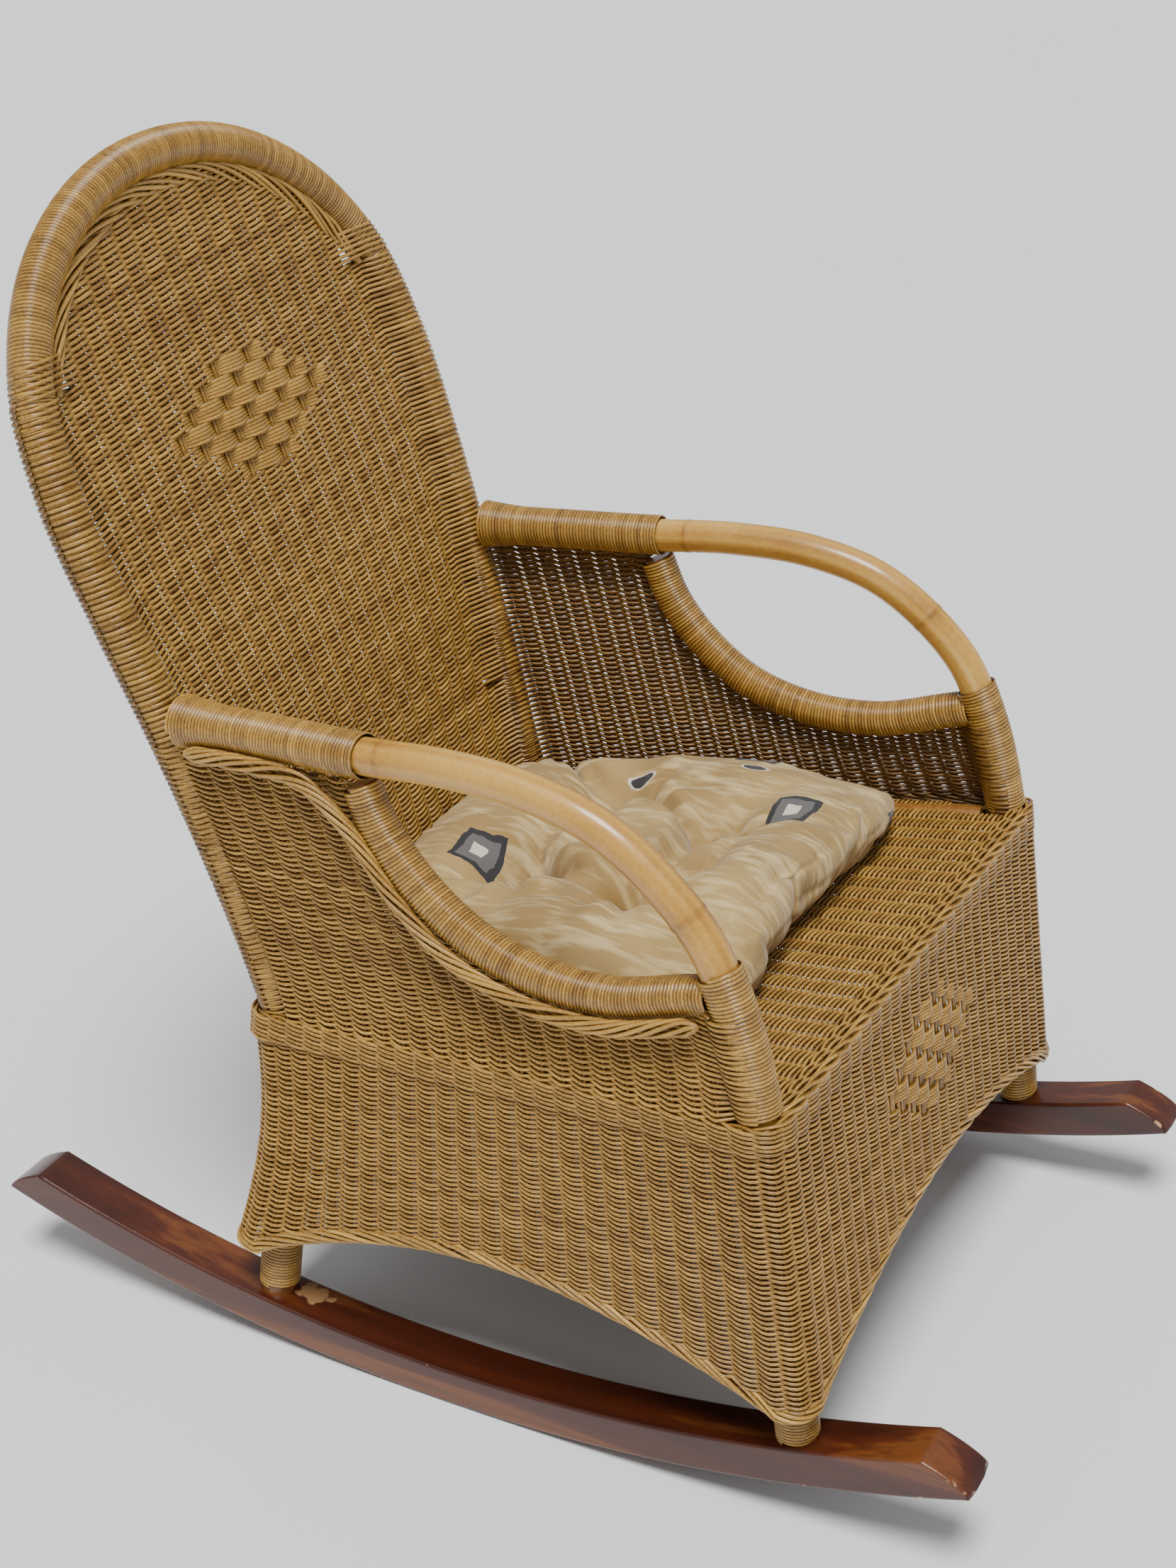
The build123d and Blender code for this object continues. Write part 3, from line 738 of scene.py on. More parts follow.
def back_rows(bag):
    """Twined rows across the back, which go round the posts, or end at the frame inside the arch."""
    for z in np.arange(BACK_LOW_Z, BACK_HIGH_Z, BACK_PITCH):
        pole_x, y = frame_at(z)
        gap = stake_gap(z)
        in_arch = z > ARCH_PLAIT_LOW_Z - 4.0
        last = int(min(BACK_STAKES, (pole_x - 22.0) // gap))
        reach = pole_x - POLE_RADIUS if in_arch else last * gap
        x = np.linspace(-reach, reach, int(2 * reach / gap * STEPS_PER_STAKE) + 1)
        stand = np.full(len(x), REACH)
        if not in_arch:
            turn = np.radians(np.linspace(-50.0, 100.0, 14))
            outer_x = pole_x + POLE_WIND * np.sin(turn)
            outer_stand = POLE_WIND * np.cos(turn)
            x = np.concatenate([-outer_x[::-1], x, outer_x])
            stand = np.concatenate([outer_stand[::-1], stand, outer_stand])
        stakes = x / gap
        phase = stakes if in_arch else np.clip(stakes, -last, last)
        path = np.stack([x, np.full(len(x), y), np.full(len(x), z)], -1)
        up = all_along(path, BACK_UP)
        on_pole = np.where(np.abs(x) > pole_x, 1.0, np.clip((stand - REACH) / 6.0, 0, 1))
        for a, b in runs(~in_diamond(stakes, z - BACK_DIAMOND_Z)):
            part = slice(a, b)
            twisted(
                bag, path[part], up[part], phase[part], stand[part], stand[part],
                lift=1.35, hand=1.0, dip=-0.1, radius=BACK_STRAND, fork=ROUND_POLE_FORK * on_pole[part],
            )


def back_stakes(bag):
    z = np.linspace(BACK_STAKE_LOW_Z, BACK_STAKE_HIGH_Z, 60)
    for number in range(-BACK_STAKES, BACK_STAKES + 1):
        for spread in (-STAKE_SPREAD, STAKE_SPREAD):
            x = number * stake_gap(z) + spread
            inside = np.abs(x) < frame_at(z)[0] - 8.0
            path = np.stack([x, frame_at(z)[1], z], -1)[inside]
            strand(bag, path, all_along(path, (0.0, -1.0, 0.0)), STAKE_RADIUS, STAKE_TONE)


def band_line(y):
    """Height of the seat-level band, where the arm panels begin."""
    return np.interp(y, [0.0, 480.0], [294.0, 259.0])


def side_x(y, z):
    """Distance of an arm panel's middle surface from the chair's middle plane."""
    low = np.interp(y, [20.0, 520.0], [265.0, 215.0])
    high = np.interp(y, [20.0, 520.0], [263.5, 236.0])
    upright = low + (high - low) * (z - 240.0) / 280.0
    wall = np.interp(y, [-9.0, 493.0], [WALL_FRONT_TOP[0], WALL_BACK_TOP[0]]) - 1.0
    flare = np.clip(1 - (z - band_line(y)) / PANEL_FLARE, 0, 1) ** 1.6
    return upright + (wall - upright) * flare


def panel_ends(z):
    """Y of the front pole and of the back post at a height."""
    return np.interp(z, FRONT_POLE_Z, FRONT_POLE_Y), frame_at(z)[1]


def panel_top(y):
    """Height of the lower rail and the arm, where the panel ends."""
    return np.interp(y, PANEL_TOP_Y, PANEL_TOP_Z)


def panel_rows(bag, side):
    """Twined rows of one arm panel, which go round the poles at both ends."""
    y = np.linspace(5.0, 535.0, 530)
    for number in range(PANEL_ROWS):
        z = band_line(y) + number * (PANEL_HIGH_Z - band_line(y)) / PANEL_ROWS
        front, rear = panel_ends(z)
        inside = (y > front - POLE_WIND) & (y < rear + POLE_WIND)
        width = rear - front - PANEL_FRONT_MARGIN - PANEL_REAR_MARGIN
        stakes = (y - front - PANEL_FRONT_MARGIN) / width * PANEL_STAKES
        phase = np.clip(stakes, 0, PANEL_STAKES)
        x = side_x(y, z)
        out = inn = np.full(len(y), REACH)
        ends = (front - y, FRONT_POLE_X, stakes < 0), (y - rear, frame_at(z)[0], stakes > PANEL_STAKES)
        for beyond, pole_x, near in ends:
            out = np.where(near, round_pole_line(beyond, pole_x - x, 1), out)
            inn = np.where(near, round_pole_line(beyond, pole_x - x, -1), inn)
        path = np.stack([x, y, z], -1)
        for a, b in runs(inside & (z < panel_top(y)), 12):
            index = np.arange(a, b)
            close = (stakes[index] < 0.2) | (stakes[index] > PANEL_STAKES - 0.2)
            part = index[(index % 3 == 0) | close]
            line, turn = path[part], phase[part]
            if side < 0:
                part = part[::-1]
                line, turn = mirrored(path[part]), -phase[part]
            twisted(bag, line, all_along(line, (0.0, 0.0, 1.0)), turn, out[part], inn[part])


def panel_stakes(bag, side):
    z = np.linspace(262.0, 503.0, 30)
    front, rear = panel_ends(z)
    width = rear - front - PANEL_FRONT_MARGIN - PANEL_REAR_MARGIN
    for number in range(PANEL_STAKES + 1):
        for spread in (-STAKE_SPREAD, STAKE_SPREAD):
            y = front + PANEL_FRONT_MARGIN + number / PANEL_STAKES * width + spread
            path = np.stack([side_x(y, z), y, z], -1)[z < panel_top(y) + 3.0]
            if side < 0:
                path = mirrored(path)
            strand(bag, path, all_along(path, (float(side), 0.0, 0.0)), STAKE_RADIUS, STAKE_TONE)


def seat_height(y):
    return np.interp(y, [5.0, 455.0], [289.0, 258.0])


def seat_gap(y):
    """Distance between the seat's stakes, which draw together to the back."""
    return stake_pitch * np.interp(y, [5.0, 455.0], [1.0, 0.86])


def seat_rows(bag):
    for y in np.arange(7.0, SEAT_BACK_Y, SEAT_PITCH):
        half = np.interp(y, SEAT_SIDE_Y, SEAT_SIDE_X)
        per_stake = 4 if y > CUSHION_HIDES_Y else STEPS_PER_STAKE
        x = np.linspace(-half, half, int(2 * half / seat_gap(y) * per_stake) + 1)
        path = np.stack([x, np.full(len(x), y), np.full(len(x), seat_height(y))], -1)
        twisted(bag, path, all_along(path, (0.0, 1.0, -0.07)), x / seat_gap(y))


def seat_stakes(bag):
    y = np.linspace(0.0, 470.0, 20)
    for number in range(-SEAT_STAKES, SEAT_STAKES + 1):
        for spread in (-STAKE_SPREAD, STAKE_SPREAD):
            path = np.stack([number * seat_gap(y) + spread, y, seat_height(y)], -1)
            strand(bag, path, all_along(path, (0.0, 0.0, 1.0)), STAKE_RADIUS, STAKE_TONE)


def seat_edge(bag):
    """Waling over the rounded front edge of the seat, which turns in at its ends."""
    x = np.linspace(-EDGE_HALF, EDGE_HALF, 160)
    bend = np.clip((np.abs(x) - 236.0) / 26.0, 0, 1) ** 2
    for number, degrees in enumerate(EDGE_TURNS):
        turn = math.radians(degrees)
        y = -2.0 - EDGE_RADIUS * math.cos(turn) + 12.0 * bend * math.sin(turn)
        z = EDGE_Z + EDGE_RADIUS * math.sin(turn) - 3.0 * bend
        path = np.stack([x, y, z], -1)
        up = all_along(path, (0.0, math.sin(turn), math.cos(turn)))
        twisted(bag, path, up, x / stake_pitch - number, 4.0, 2.0, lift=1.6, count=3, dip=0.0, radius=1.35)


def front_point(stakes, offset_z):
    top, bottom = loop_at(stakes)
    z = FRONT_DIAMOND_Z + offset_z
    t = (top[:, 2] - z) / (top[:, 2] - bottom[:, 2])
    return top + (bottom - top) * t[:, None]


def lower_border(bag):
    """Rolled edge that follows the arched bottom of the walls."""
    stakes = np.linspace(-HALF_ROUND, HALF_ROUND, STAKES_ROUND * 8 + 1)
    top, bottom = loop_at(stakes)
    arch, _ = loop_arch(stakes)
    drop = np.linalg.norm(bottom - top, axis=1) * (1 - arch / (top[:, 2] - bottom[:, 2]))
    path = wall_point(stakes, drop)
    outward = np.cross(unit(np.gradient(path, axis=0)), all_along(path, (0.0, 0.0, 1.0)))
    rope(bag, path, outward, 5.2, 3.2, 130.0, 1.8)


def arch_braid(bag):
    """Rolled edge inside the arch of the back."""
    half = frame_line[frame_line[:, 2] > ARCH_PLAIT_LOW_Z - 26.0]
    full = np.concatenate([mirrored(half), half[::-1][1:]])
    inward = unit(np.cross(unit(np.gradient(full, axis=0)), (0.0, -1.0, 0.0)))
    path = full + inward * ARCH_PLAIT_INSET
    path[:, 1] -= 7.0
    rope(bag, path, all_along(path, (0.0, -1.0, 0.0)), 6.6, 3.2, 150.0, 1.95, taper=40.0)


def arm_braid(bag):
    """Rolled edge outside the lower rail."""
    path = spline(BRAID_POINTS, 2.5)
    rope(bag, path, all_along(path, (1.0, 0.0, 0.0)), 5.8, 3.2, 140.0, 1.85, taper=12.0)


# ---------------------------------------------------------------- poles and rockers


def bare_pole(bag, points, radius, rings):
    """A smooth rattan pole with faint rings where its leaves grew and streaks along it."""
    path = spline(points, 2.5)
    normal, side = carried_frame(path)
    travelled = lengths_along(path)
    ridge = np.zeros(len(path))
    shade = np.zeros(len(path))
    for place in rings:
        off = travelled - place
        ridge += 0.5 * np.exp(-((off / 2.2) ** 2)) - 0.25 * np.exp(-(((off - 4.0) / 2.0) ** 2))
        shade -= 0.2 * np.exp(-((off / 1.7) ** 2)) + 0.08 * np.exp(-((off / 16.0) ** 2))
    size = radius + ridge
    size[[0, -1]] *= 0.3
    tube, angle = round_tube(path, normal, side, size, POLE_SIDES)
    streak = np.zeros((len(path), POLE_SIDES))
    for wave in (1, 2, 3, 5, 7, 11):
        turn = rng.uniform(0, 2 * math.pi) + travelled / rng.uniform(140.0, 420.0)
        streak += 0.07 * np.cos(wave * angle[None] + turn[:, None])
    bag.add(tube, 0.5 + shade[:, None] + streak)


def rocker_section(top, foot):
    """Points (x, radius) round a rocker's section, with small rounded edges, and where those edges are."""
    half = ROCKER_WIDTH / 2
    edge = min(ROCKER_EDGE, (foot - top) * 0.45)
    points, worn = [], []
    for side, radius, start in ((1, top, 0), (1, foot, 90), (-1, foot, 180), (-1, top, 270)):
        inward = 1 if radius == top else -1
        centre = (side * (half - edge), radius + inward * edge)
        for step in range(-1, 6):
            turn = math.radians(start + 22.5 * min(max(step, 0), 4))
            x = centre[0] + edge * math.sin(turn)
            r = centre[1] - edge * math.cos(turn)
            beside = {-1: -0.8, 5: 0.8}.get(step, 0.0)
            points.append((x + beside * math.cos(turn), r + beside * math.sin(turn)))
            worn.append(0.0 if beside else 1.0)
    return np.array(points), np.array(worn)


def rocker_degrees():
    """Places along a rocker, closer together over its sloping ends."""
    front = np.linspace(ROCKER_FRONT_TIP_DEG, ROCKER_FRONT_TOP_DEG, 18)
    middle = np.linspace(ROCKER_FRONT_TOP_DEG, ROCKER_BACK_TOP_DEG, 140)[1:-1]
    back = np.linspace(ROCKER_BACK_TOP_DEG, ROCKER_BACK_TIP_DEG, 18)
    return np.concatenate([front, middle, back])


def rocker_tube(bag, side):
    """One rocker, whose top slopes down to a blunt tip at each end."""
    top_radius = ROCKER_FOOT_RADIUS - ROCKER_THICKNESS
    rings, tones = [], []
    for place in rocker_degrees():
        before = (ROCKER_FRONT_TOP_DEG - place) / (ROCKER_FRONT_TOP_DEG - ROCKER_FRONT_TIP_DEG)
        after = (place - ROCKER_BACK_TOP_DEG) / (ROCKER_BACK_TIP_DEG - ROCKER_BACK_TOP_DEG)
        end = min(max(before, after, 0.0), 1.0)
        drop = ROCKER_THICKNESS * (0.62 * end + 0.38 * (1 - math.sqrt(1 - end * end)))
        top = min(top_radius + drop, ROCKER_FOOT_RADIUS - 1.2)
        section, worn = rocker_section(top, ROCKER_FOOT_RADIUS)
        turn = math.radians(place)
        y = ROCKER_CENTRE_Y + section[:, 1] * math.sin(turn)
        z = ROCKER_CENTRE_Z - section[:, 1] * math.cos(turn)
        rings.append(np.stack([side * ROCKER_X + section[:, 0], y, z], -1))
        tones.append(worn * (1.0 if end > 0.02 else 0.72) + 0.25 * (end > 0.3) * (before > 0))
    for index, inward in ((0, 1), (-1, -2)):
        middle = rings[index].mean(0)
        rings[index] = middle + (rings[index] - middle) * 0.4
        tones[index] = tones[inward]
    bag.add(np.array(rings), np.array(tones))


# ---------------------------------------------------------------- cushion


def cushion_to_chair(points):
    """From the cushion's own frame (across, back along the seat, up off it) to the chair's."""
    p = np.asarray(points, float)
    lean = math.atan(SEAT_SLOPE)
    y = CUSHION_FRONT_Y + p[..., 1] * math.cos(lean) - p[..., 2] * math.sin(lean)
    z = CUSHION_REST_Z + p[..., 1] * math.sin(lean) + p[..., 2] * math.cos(lean)
    return np.stack([p[..., 0], y, z], -1)


def cushion_half(v):
    return np.interp(v, [0.0, CUSHION_DEPTH], [CUSHION_FRONT_HALF, CUSHION_BACK_HALF])


def from_cushion_edge(p):
    """Distance of points in from the nearest edge of the cushion's outline."""
    half = cushion_half(p[:, 1])
    return np.minimum(np.minimum(p[:, 1], CUSHION_DEPTH - p[:, 1]), half - np.abs(p[:, 0]))


def to_segment(x, y, a, b):
    """Distance of points from the line between two tufts."""
    along = np.array([b[0] - a[0], b[1] - a[1]])
    t = np.clip(((x - a[0]) * along[0] + (y - a[1]) * along[1]) / np.dot(along, along), 0, 1)
    return np.hypot(x - a[0] - t * along[0], y - a[1] - t * along[1])


def blank_sheets():
    """Points of the unfilled cushion's two sheets, pulled in between its corners and at its tufts."""
    uu, vv = np.meshgrid(np.linspace(-1, 1, BLANK_ACROSS), np.linspace(0, 1, BLANK_DEEP))
    y = CUSHION_SHRINK + vv * (CUSHION_DEPTH - 2 * CUSHION_SHRINK)
    x = uu * (cushion_half(y) - CUSHION_SHRINK)
    x = x * (1 - CUSHION_SIDE_PULL * (1 - (2 * vv - 1) ** 2) / 60.0 * np.abs(uu))
    y = y + CUSHION_SIDE_PULL * (1 - uu**2) * (1 - 2 * vv) ** 3
    rim = np.minimum(np.minimum(1 - np.abs(uu), 0.9) * 200.0, np.minimum(vv, 1 - vv) * 370.0)
    crown = np.sqrt(np.clip(1 - (1 - np.clip(rim / 70.0, 0, 1)) ** 2, 0, 1))
    rise = CUSHION_RIM + (CUSHION_CROWN - CUSHION_RIM) * crown
    top = CUSHION_MIDDLE + rise
    low = CUSHION_MIDDLE - np.minimum(rise, CUSHION_MIDDLE - 3.0)
    for u, v, depth in TUFTS:
        top = top - depth * np.exp(-(((x - u) ** 2 + (y - v) ** 2) / TUFT_WIDTH**2))
    for a, b in CREASES:
        away = to_segment(x, y, TUFTS[a], TUFTS[b])
        top = top - CREASE_DEPTH * np.exp(-((away / CREASE_WIDTH) ** 2))
    top = np.maximum(top, 7.0)
    return np.stack([x, y, top], -1).reshape(-1, 3), np.stack([x, y, low], -1).reshape(-1, 3)


def blank_faces():
    """Faces of two sheets of points joined round their edge, seen from outside."""
    across, deep = BLANK_ACROSS, BLANK_DEEP
    n = across * deep
    faces = []
    for j in range(deep - 1):
        for i in range(across - 1):
            a = j * across + i
            faces.append((a, a + 1, a + across + 1, a + across))
            faces.append((n + a, n + a + across, n + a + across + 1, n + a + 1))
    edge = list(range(across))
    edge += [j * across + across - 1 for j in range(1, deep)]
    edge += [(deep - 1) * across + i for i in range(across - 2, -1, -1)]
    edge += [j * across for j in range(deep - 2, 0, -1)]
    for a, b in zip(edge, edge[1:] + edge[:1]):
        faces.append((a, n + a, n + b, b))
    return faces


def evaluated_mesh(thing):
    """A new mesh of an object with its modifiers applied."""
    return bpy.data.meshes.new_from_object(thing.evaluated_get(bpy.context.evaluated_depsgraph_get()))


def cushion_shape():
    """The filled cushion's points in its own frame, in millimetres, and its faces, by cloth simulation."""
    mesh = bpy.data.meshes.new("cushion_blank")
    mesh.from_pydata((np.concatenate(blank_sheets()) * 0.001).tolist(), [], blank_faces())
    thing = bpy.data.objects.new("cushion_blank", mesh)
    bpy.context.scene.collection.objects.link(thing)
    apply_modifier(thing, "REMESH", mode="VOXEL", voxel_size=CUSHION_VOXEL)
    start = mesh_points(thing.data)
    hold_cushion(thing, start * 1000.0)
    fill_cushion(thing)
    moved = mesh_points(thing.data) - start
    far = np.linalg.norm(moved, axis=1, keepdims=True)
    made = start + moved * np.minimum(1.0, CUSHION_CAP / np.maximum(far, 1e-9))
    thing.data.vertices.foreach_set("co", made.astype(np.float32).ravel())
    apply_modifier(thing, "SUBSURF", levels=1)
    made = mesh_points(thing.data) * 1000.0
    faces = [tuple(face.vertices) for face in thing.data.polygons]
    bpy.data.objects.remove(thing)
    return made, faces


def hold_cushion(thing, points):
    """Weights that hold the cushion down at its tufts and, less firmly, on the seat."""
    held = np.zeros(len(points))
    for u, v, depth in TUFTS:
        away = np.hypot(points[:, 0] - u, points[:, 1] - v)
        held = np.maximum(held, (away < TUFT_HOLD) * min(1.0, depth / 20.0))
    held = np.maximum(held, (points[:, 2] < 6.0) * 0.6)
    group = thing.vertex_groups.new(name="held")
    for index in np.flatnonzero(held > 0.01):
        group.add([int(index)], float(held[index]), "REPLACE")


def apply_modifier(thing, kind, **values):
    change = thing.modifiers.new(kind.lower(), kind)
    for key, value in values.items():
        setattr(change, key, value)
    bpy.context.view_layer.update()
    fresh = evaluated_mesh(thing)
    thing.modifiers.clear()
    thing.data = fresh


def fill_cushion(thing):
    """Blows the cushion up as cloth, held down at its tufts."""
    cloth = thing.modifiers.new("cloth", "CLOTH")
    cloth.settings.quality = 6
    cloth.settings.mass = 0.25
    cloth.settings.tension_stiffness = 12.0
    cloth.settings.compression_stiffness = 8.0
    cloth.settings.shear_stiffness = 4.0
    cloth.settings.bending_stiffness = 0.25
    cloth.settings.shrink_min = CUSHION_SLACK
    cloth.settings.use_pressure = True
    cloth.settings.uniform_pressure_force = 4.0
    cloth.settings.vertex_group_mass = "held"
    cloth.settings.effector_weights.gravity = 0.0
    cloth.collision_settings.use_self_collision = False
    cloth.point_cache.frame_start = 1
    cloth.point_cache.frame_end = CLOTH_FRAMES
    for number in range(1, CLOTH_FRAMES + 1):
        bpy.context.scene.frame_set(number)
    fresh = evaluated_mesh(thing)
    thing.modifiers.clear()
    thing.data = fresh
    bpy.context.scene.frame_set(1)


def mesh_points(mesh):
    found = np.empty(len(mesh.vertices) * 3, np.float32)
    mesh.vertices.foreach_get("co", found)
    return found.reshape(-1, 3).astype(float)


def kept_in(points):
    """Presses the cushion into its space: flat on the seat, clear of the panels and not too high."""
    p = points.copy()
    p[:, 2] = np.clip(p[:, 2], CUSHION_UNDERSIDE, CUSHION_THICKNESS - 0.5)
    p[:, 1] = np.clip(p[:, 1], 0.8, CUSHION_DEPTH - 0.8)
    half = cushion_half(p[:, 1]) - 0.8
    p[:, 0] = np.clip(p[:, 0], -half, half)
    return p


def seam(points):
    """Nips the cushion in along the seam half-way up its sides."""
    at_seam = np.exp(-(((points[:, 2] - CUSHION_SEAM) / SEAM_HEIGHT) ** 2))
    near = np.clip(1 - from_cushion_edge(points) / 30.0, 0, 1) * at_seam
    middle = np.array([0.0, CUSHION_DEPTH / 2, 0.0])
    inward = unit((middle - points) * np.array([1.0, 1.0, 0.0]))
    return points + inward * (SEAM_DEPTH * near)[:, None]


def pleats(points):
    """Small folds that run out from each tuft over the top, and puckers along its edges."""
    p = points.copy()
    on_top = np.clip((p[:, 2] - CUSHION_MIDDLE) / 10.0, 0, 1)
    for number, (u, v, depth) in enumerate(TUFTS):
        away = np.hypot(p[:, 0] - u, p[:, 1] - v)
        around = np.arctan2(p[:, 1] - v, p[:, 0] - u)
        fold = np.cos(8 * around + 1.3 * np.sin(2 * around + number)) + 0.6 * np.cos(4 * around + number)
        swell = away / PLEAT_REACH * np.exp(1 - away / PLEAT_REACH)
        p[:, 2] += PLEAT_HEIGHT * depth / FULL_TUFT * fold * swell * on_top
    pucker = np.sin((p[:, 0] + p[:, 1]) / 5.6 + 1.6 * np.sin((p[:, 0] - p[:, 1]) / 29.0))
    p[:, 2] += PUCKER_HEIGHT * np.clip(1 - from_cushion_edge(p) / PUCKER_REACH, 0, 1) * pucker * on_top
    return p


def print_place(points):
    """Where each point lies on the printed cloth, in metres: flat on top and turned down over the sides."""
    p = points
    half = cushion_half(p[:, 1])
    drop = np.clip(CUSHION_CROWN + CUSHION_MIDDLE - 12.0 - p[:, 2], 0, None)
    front = np.clip(1 - p[:, 1] / 45.0, 0, 1)
    side = np.clip(1 - (half - np.abs(p[:, 0])) / 40.0, 0, 1) * (1 - front)
    across = p[:, 0] + np.sign(p[:, 0]) * drop * side
    back = p[:, 1] - drop * front
    return np.stack([across, back, 0 * back], -1) * 0.001


def cushion():
    points, faces = cushion_shape()
    points = seam(kept_in(pleats(points)))
    mesh = bpy.data.meshes.new("seat_cushion")
    mesh.from_pydata(settle(cushion_to_chair(points)).tolist(), [], faces)
    mesh.polygons.foreach_set("use_smooth", np.ones(len(faces), bool))
    printed = mesh.attributes.new("print", "FLOAT_VECTOR", "POINT")
    printed.data.foreach_set("vector", print_place(points).astype(np.float32).ravel())
    mesh.materials.append(cushion_cloth)
    thing = bpy.data.objects.new("seat_cushion", mesh)
    bpy.context.scene.collection.objects.link(thing)
    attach(thing, "cushion")
    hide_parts("cushion")


# ---------------------------------------------------------------- materials


def new_material(name):
    material = bpy.data.materials.new(name)
    material.use_nodes = True
    tree = material.node_tree
    return material, tree, tree.nodes["Principled BSDF"]


def node(tree, kind, **values):
    made = tree.nodes.new(kind)
    for key, value in values.items():
        if key in made.inputs:
            made.inputs[key].default_value = value
        else:
            setattr(made, key, value)
    return made


def ramp(tree, factor, stops):
    """A colour ramp driven by a socket."""
    made = tree.nodes.new("ShaderNodeValToRGB")
    band = made.color_ramp
    band.elements[0].position, band.elements[0].color = stops[0][0], (*stops[0][1], 1)
    band.elements[1].position, band.elements[1].color = stops[-1][0], (*stops[-1][1], 1)
    for place, colour in stops[1:-1]:
        band.elements.new(place).color = (*colour, 1)
    tree.links.new(factor, made.inputs["Fac"])
    return made.outputs["Color"]


def maths(tree, operation, a, b):
    made = tree.nodes.new("ShaderNodeMath")
    made.operation = operation
    for socket, value in zip(made.inputs, (a, b)):
        if isinstance(value, (int, float)):
            socket.default_value = value
        else:
            tree.links.new(value, socket)
    return made.outputs[0]


def link_noise(tree, place, **values):
    made = node(tree, "ShaderNodeTexNoise", **values)
    tree.links.new(place, made.inputs["Vector"])
    return made.outputs["Fac"]


def stretched(tree, place, scale):
    made = node(tree, "ShaderNodeMapping")
    made.inputs["Scale"].default_value = scale
    tree.links.new(place, made.inputs["Vector"])
    return made.outputs["Vector"]


def mixed(tree, factor, a, b):
    """Colour a where the factor is 0 and b where it is 1. Either may be a socket or a plain colour."""
    made = tree.nodes.new("ShaderNodeMix")
    made.data_type = "RGBA"
    for socket, value in ((made.inputs[0], factor), (made.inputs[6], a), (made.inputs[7], b)):
        if isinstance(value, (tuple, float)):
            socket.default_value = (*value, 1) if isinstance(value, tuple) else value
        else:
            tree.links.new(value, socket)
    return made.outputs[2]


def step_up(tree, value, low, high):
    made = node(tree, "ShaderNodeMapRange", **{"From Min": low, "From Max": high})
    tree.links.new(value, made.inputs["Value"])
    return made.outputs["Result"]


def varied(tree, value, noise, amount):
    """A value with a noise added that swings about zero."""
    return maths(tree, "ADD", value, maths(tree, "MULTIPLY", maths(tree, "SUBTRACT", noise, 0.5), amount))


def add_coat(shader, weight, roughness):
    shader.inputs["Coat Weight"].default_value = weight
    shader.inputs["Coat Roughness"].default_value = roughness


def add_bump(tree, shader, height, strength, distance):
    bump = node(tree, "ShaderNodeBump", Strength=strength, Distance=distance)
    tree.links.new(height, bump.inputs["Height"])
    tree.links.new(bump.outputs["Normal"], shader.inputs["Normal"])


def cane_material(name, dark, mid, pale, roughness):
    """Varnished cane: each strand has its own tone, with painted light and painted shade from its tone
    attribute, and blotches and flecks over it.
    """
    material, tree, shader = new_material(name)
    place = node(tree, "ShaderNodeTexCoord").outputs["Object"]
    # The tone attribute holds each strand's own tone with its painted light and painted shade.
    tone = node(tree, "ShaderNodeAttribute", attribute_name="tone").outputs["Fac"]
    blotch = link_noise(tree, place, Scale=30.0, Detail=4.0)
    fleck = link_noise(tree, place, Scale=420.0, Detail=3.0)
    value = varied(tree, varied(tree, tone, blotch, 0.2), fleck, 0.5)
    tree.links.new(ramp(tree, value, [(0.0, dark), (0.5, mid), (1.0, pale)]), shader.inputs["Base Color"])
    rough = node(tree, "ShaderNodeMapRange", **{"To Min": roughness - 0.08, "To Max": roughness + 0.14})
    tree.links.new(fleck, rough.inputs["Value"])
    tree.links.new(rough.outputs["Result"], shader.inputs["Roughness"])
    add_bump(tree, shader, fleck, 0.25, 0.0004)
    add_coat(shader, 0.35, 0.25)
    return material


def pole_material():
    """Smooth golden rattan bark, varnished."""
    material, tree, shader = new_material("pole_rattan")
    place = node(tree, "ShaderNodeTexCoord").outputs["Object"]
    tone = node(tree, "ShaderNodeAttribute", attribute_name="tone").outputs["Fac"]
    cloud = link_noise(tree, place, Scale=9.0, Detail=3.0)
    grain = link_noise(tree, place, Scale=260.0, Detail=4.0)
    value = varied(tree, varied(tree, tone, cloud, 0.7), grain, 0.3)
    stops = [(0.0, (0.2, 0.07, 0.01)), (0.4, (0.56, 0.28, 0.042)), (1.0, (0.84, 0.55, 0.14))]
    tree.links.new(ramp(tree, value, stops), shader.inputs["Base Color"])
    tree.links.new(step_up(tree, grain, -1.2, 2.6), shader.inputs["Roughness"])
    add_bump(tree, shader, grain, 0.12, 0.0004)
    add_coat(shader, 0.6, 0.14)
    return material


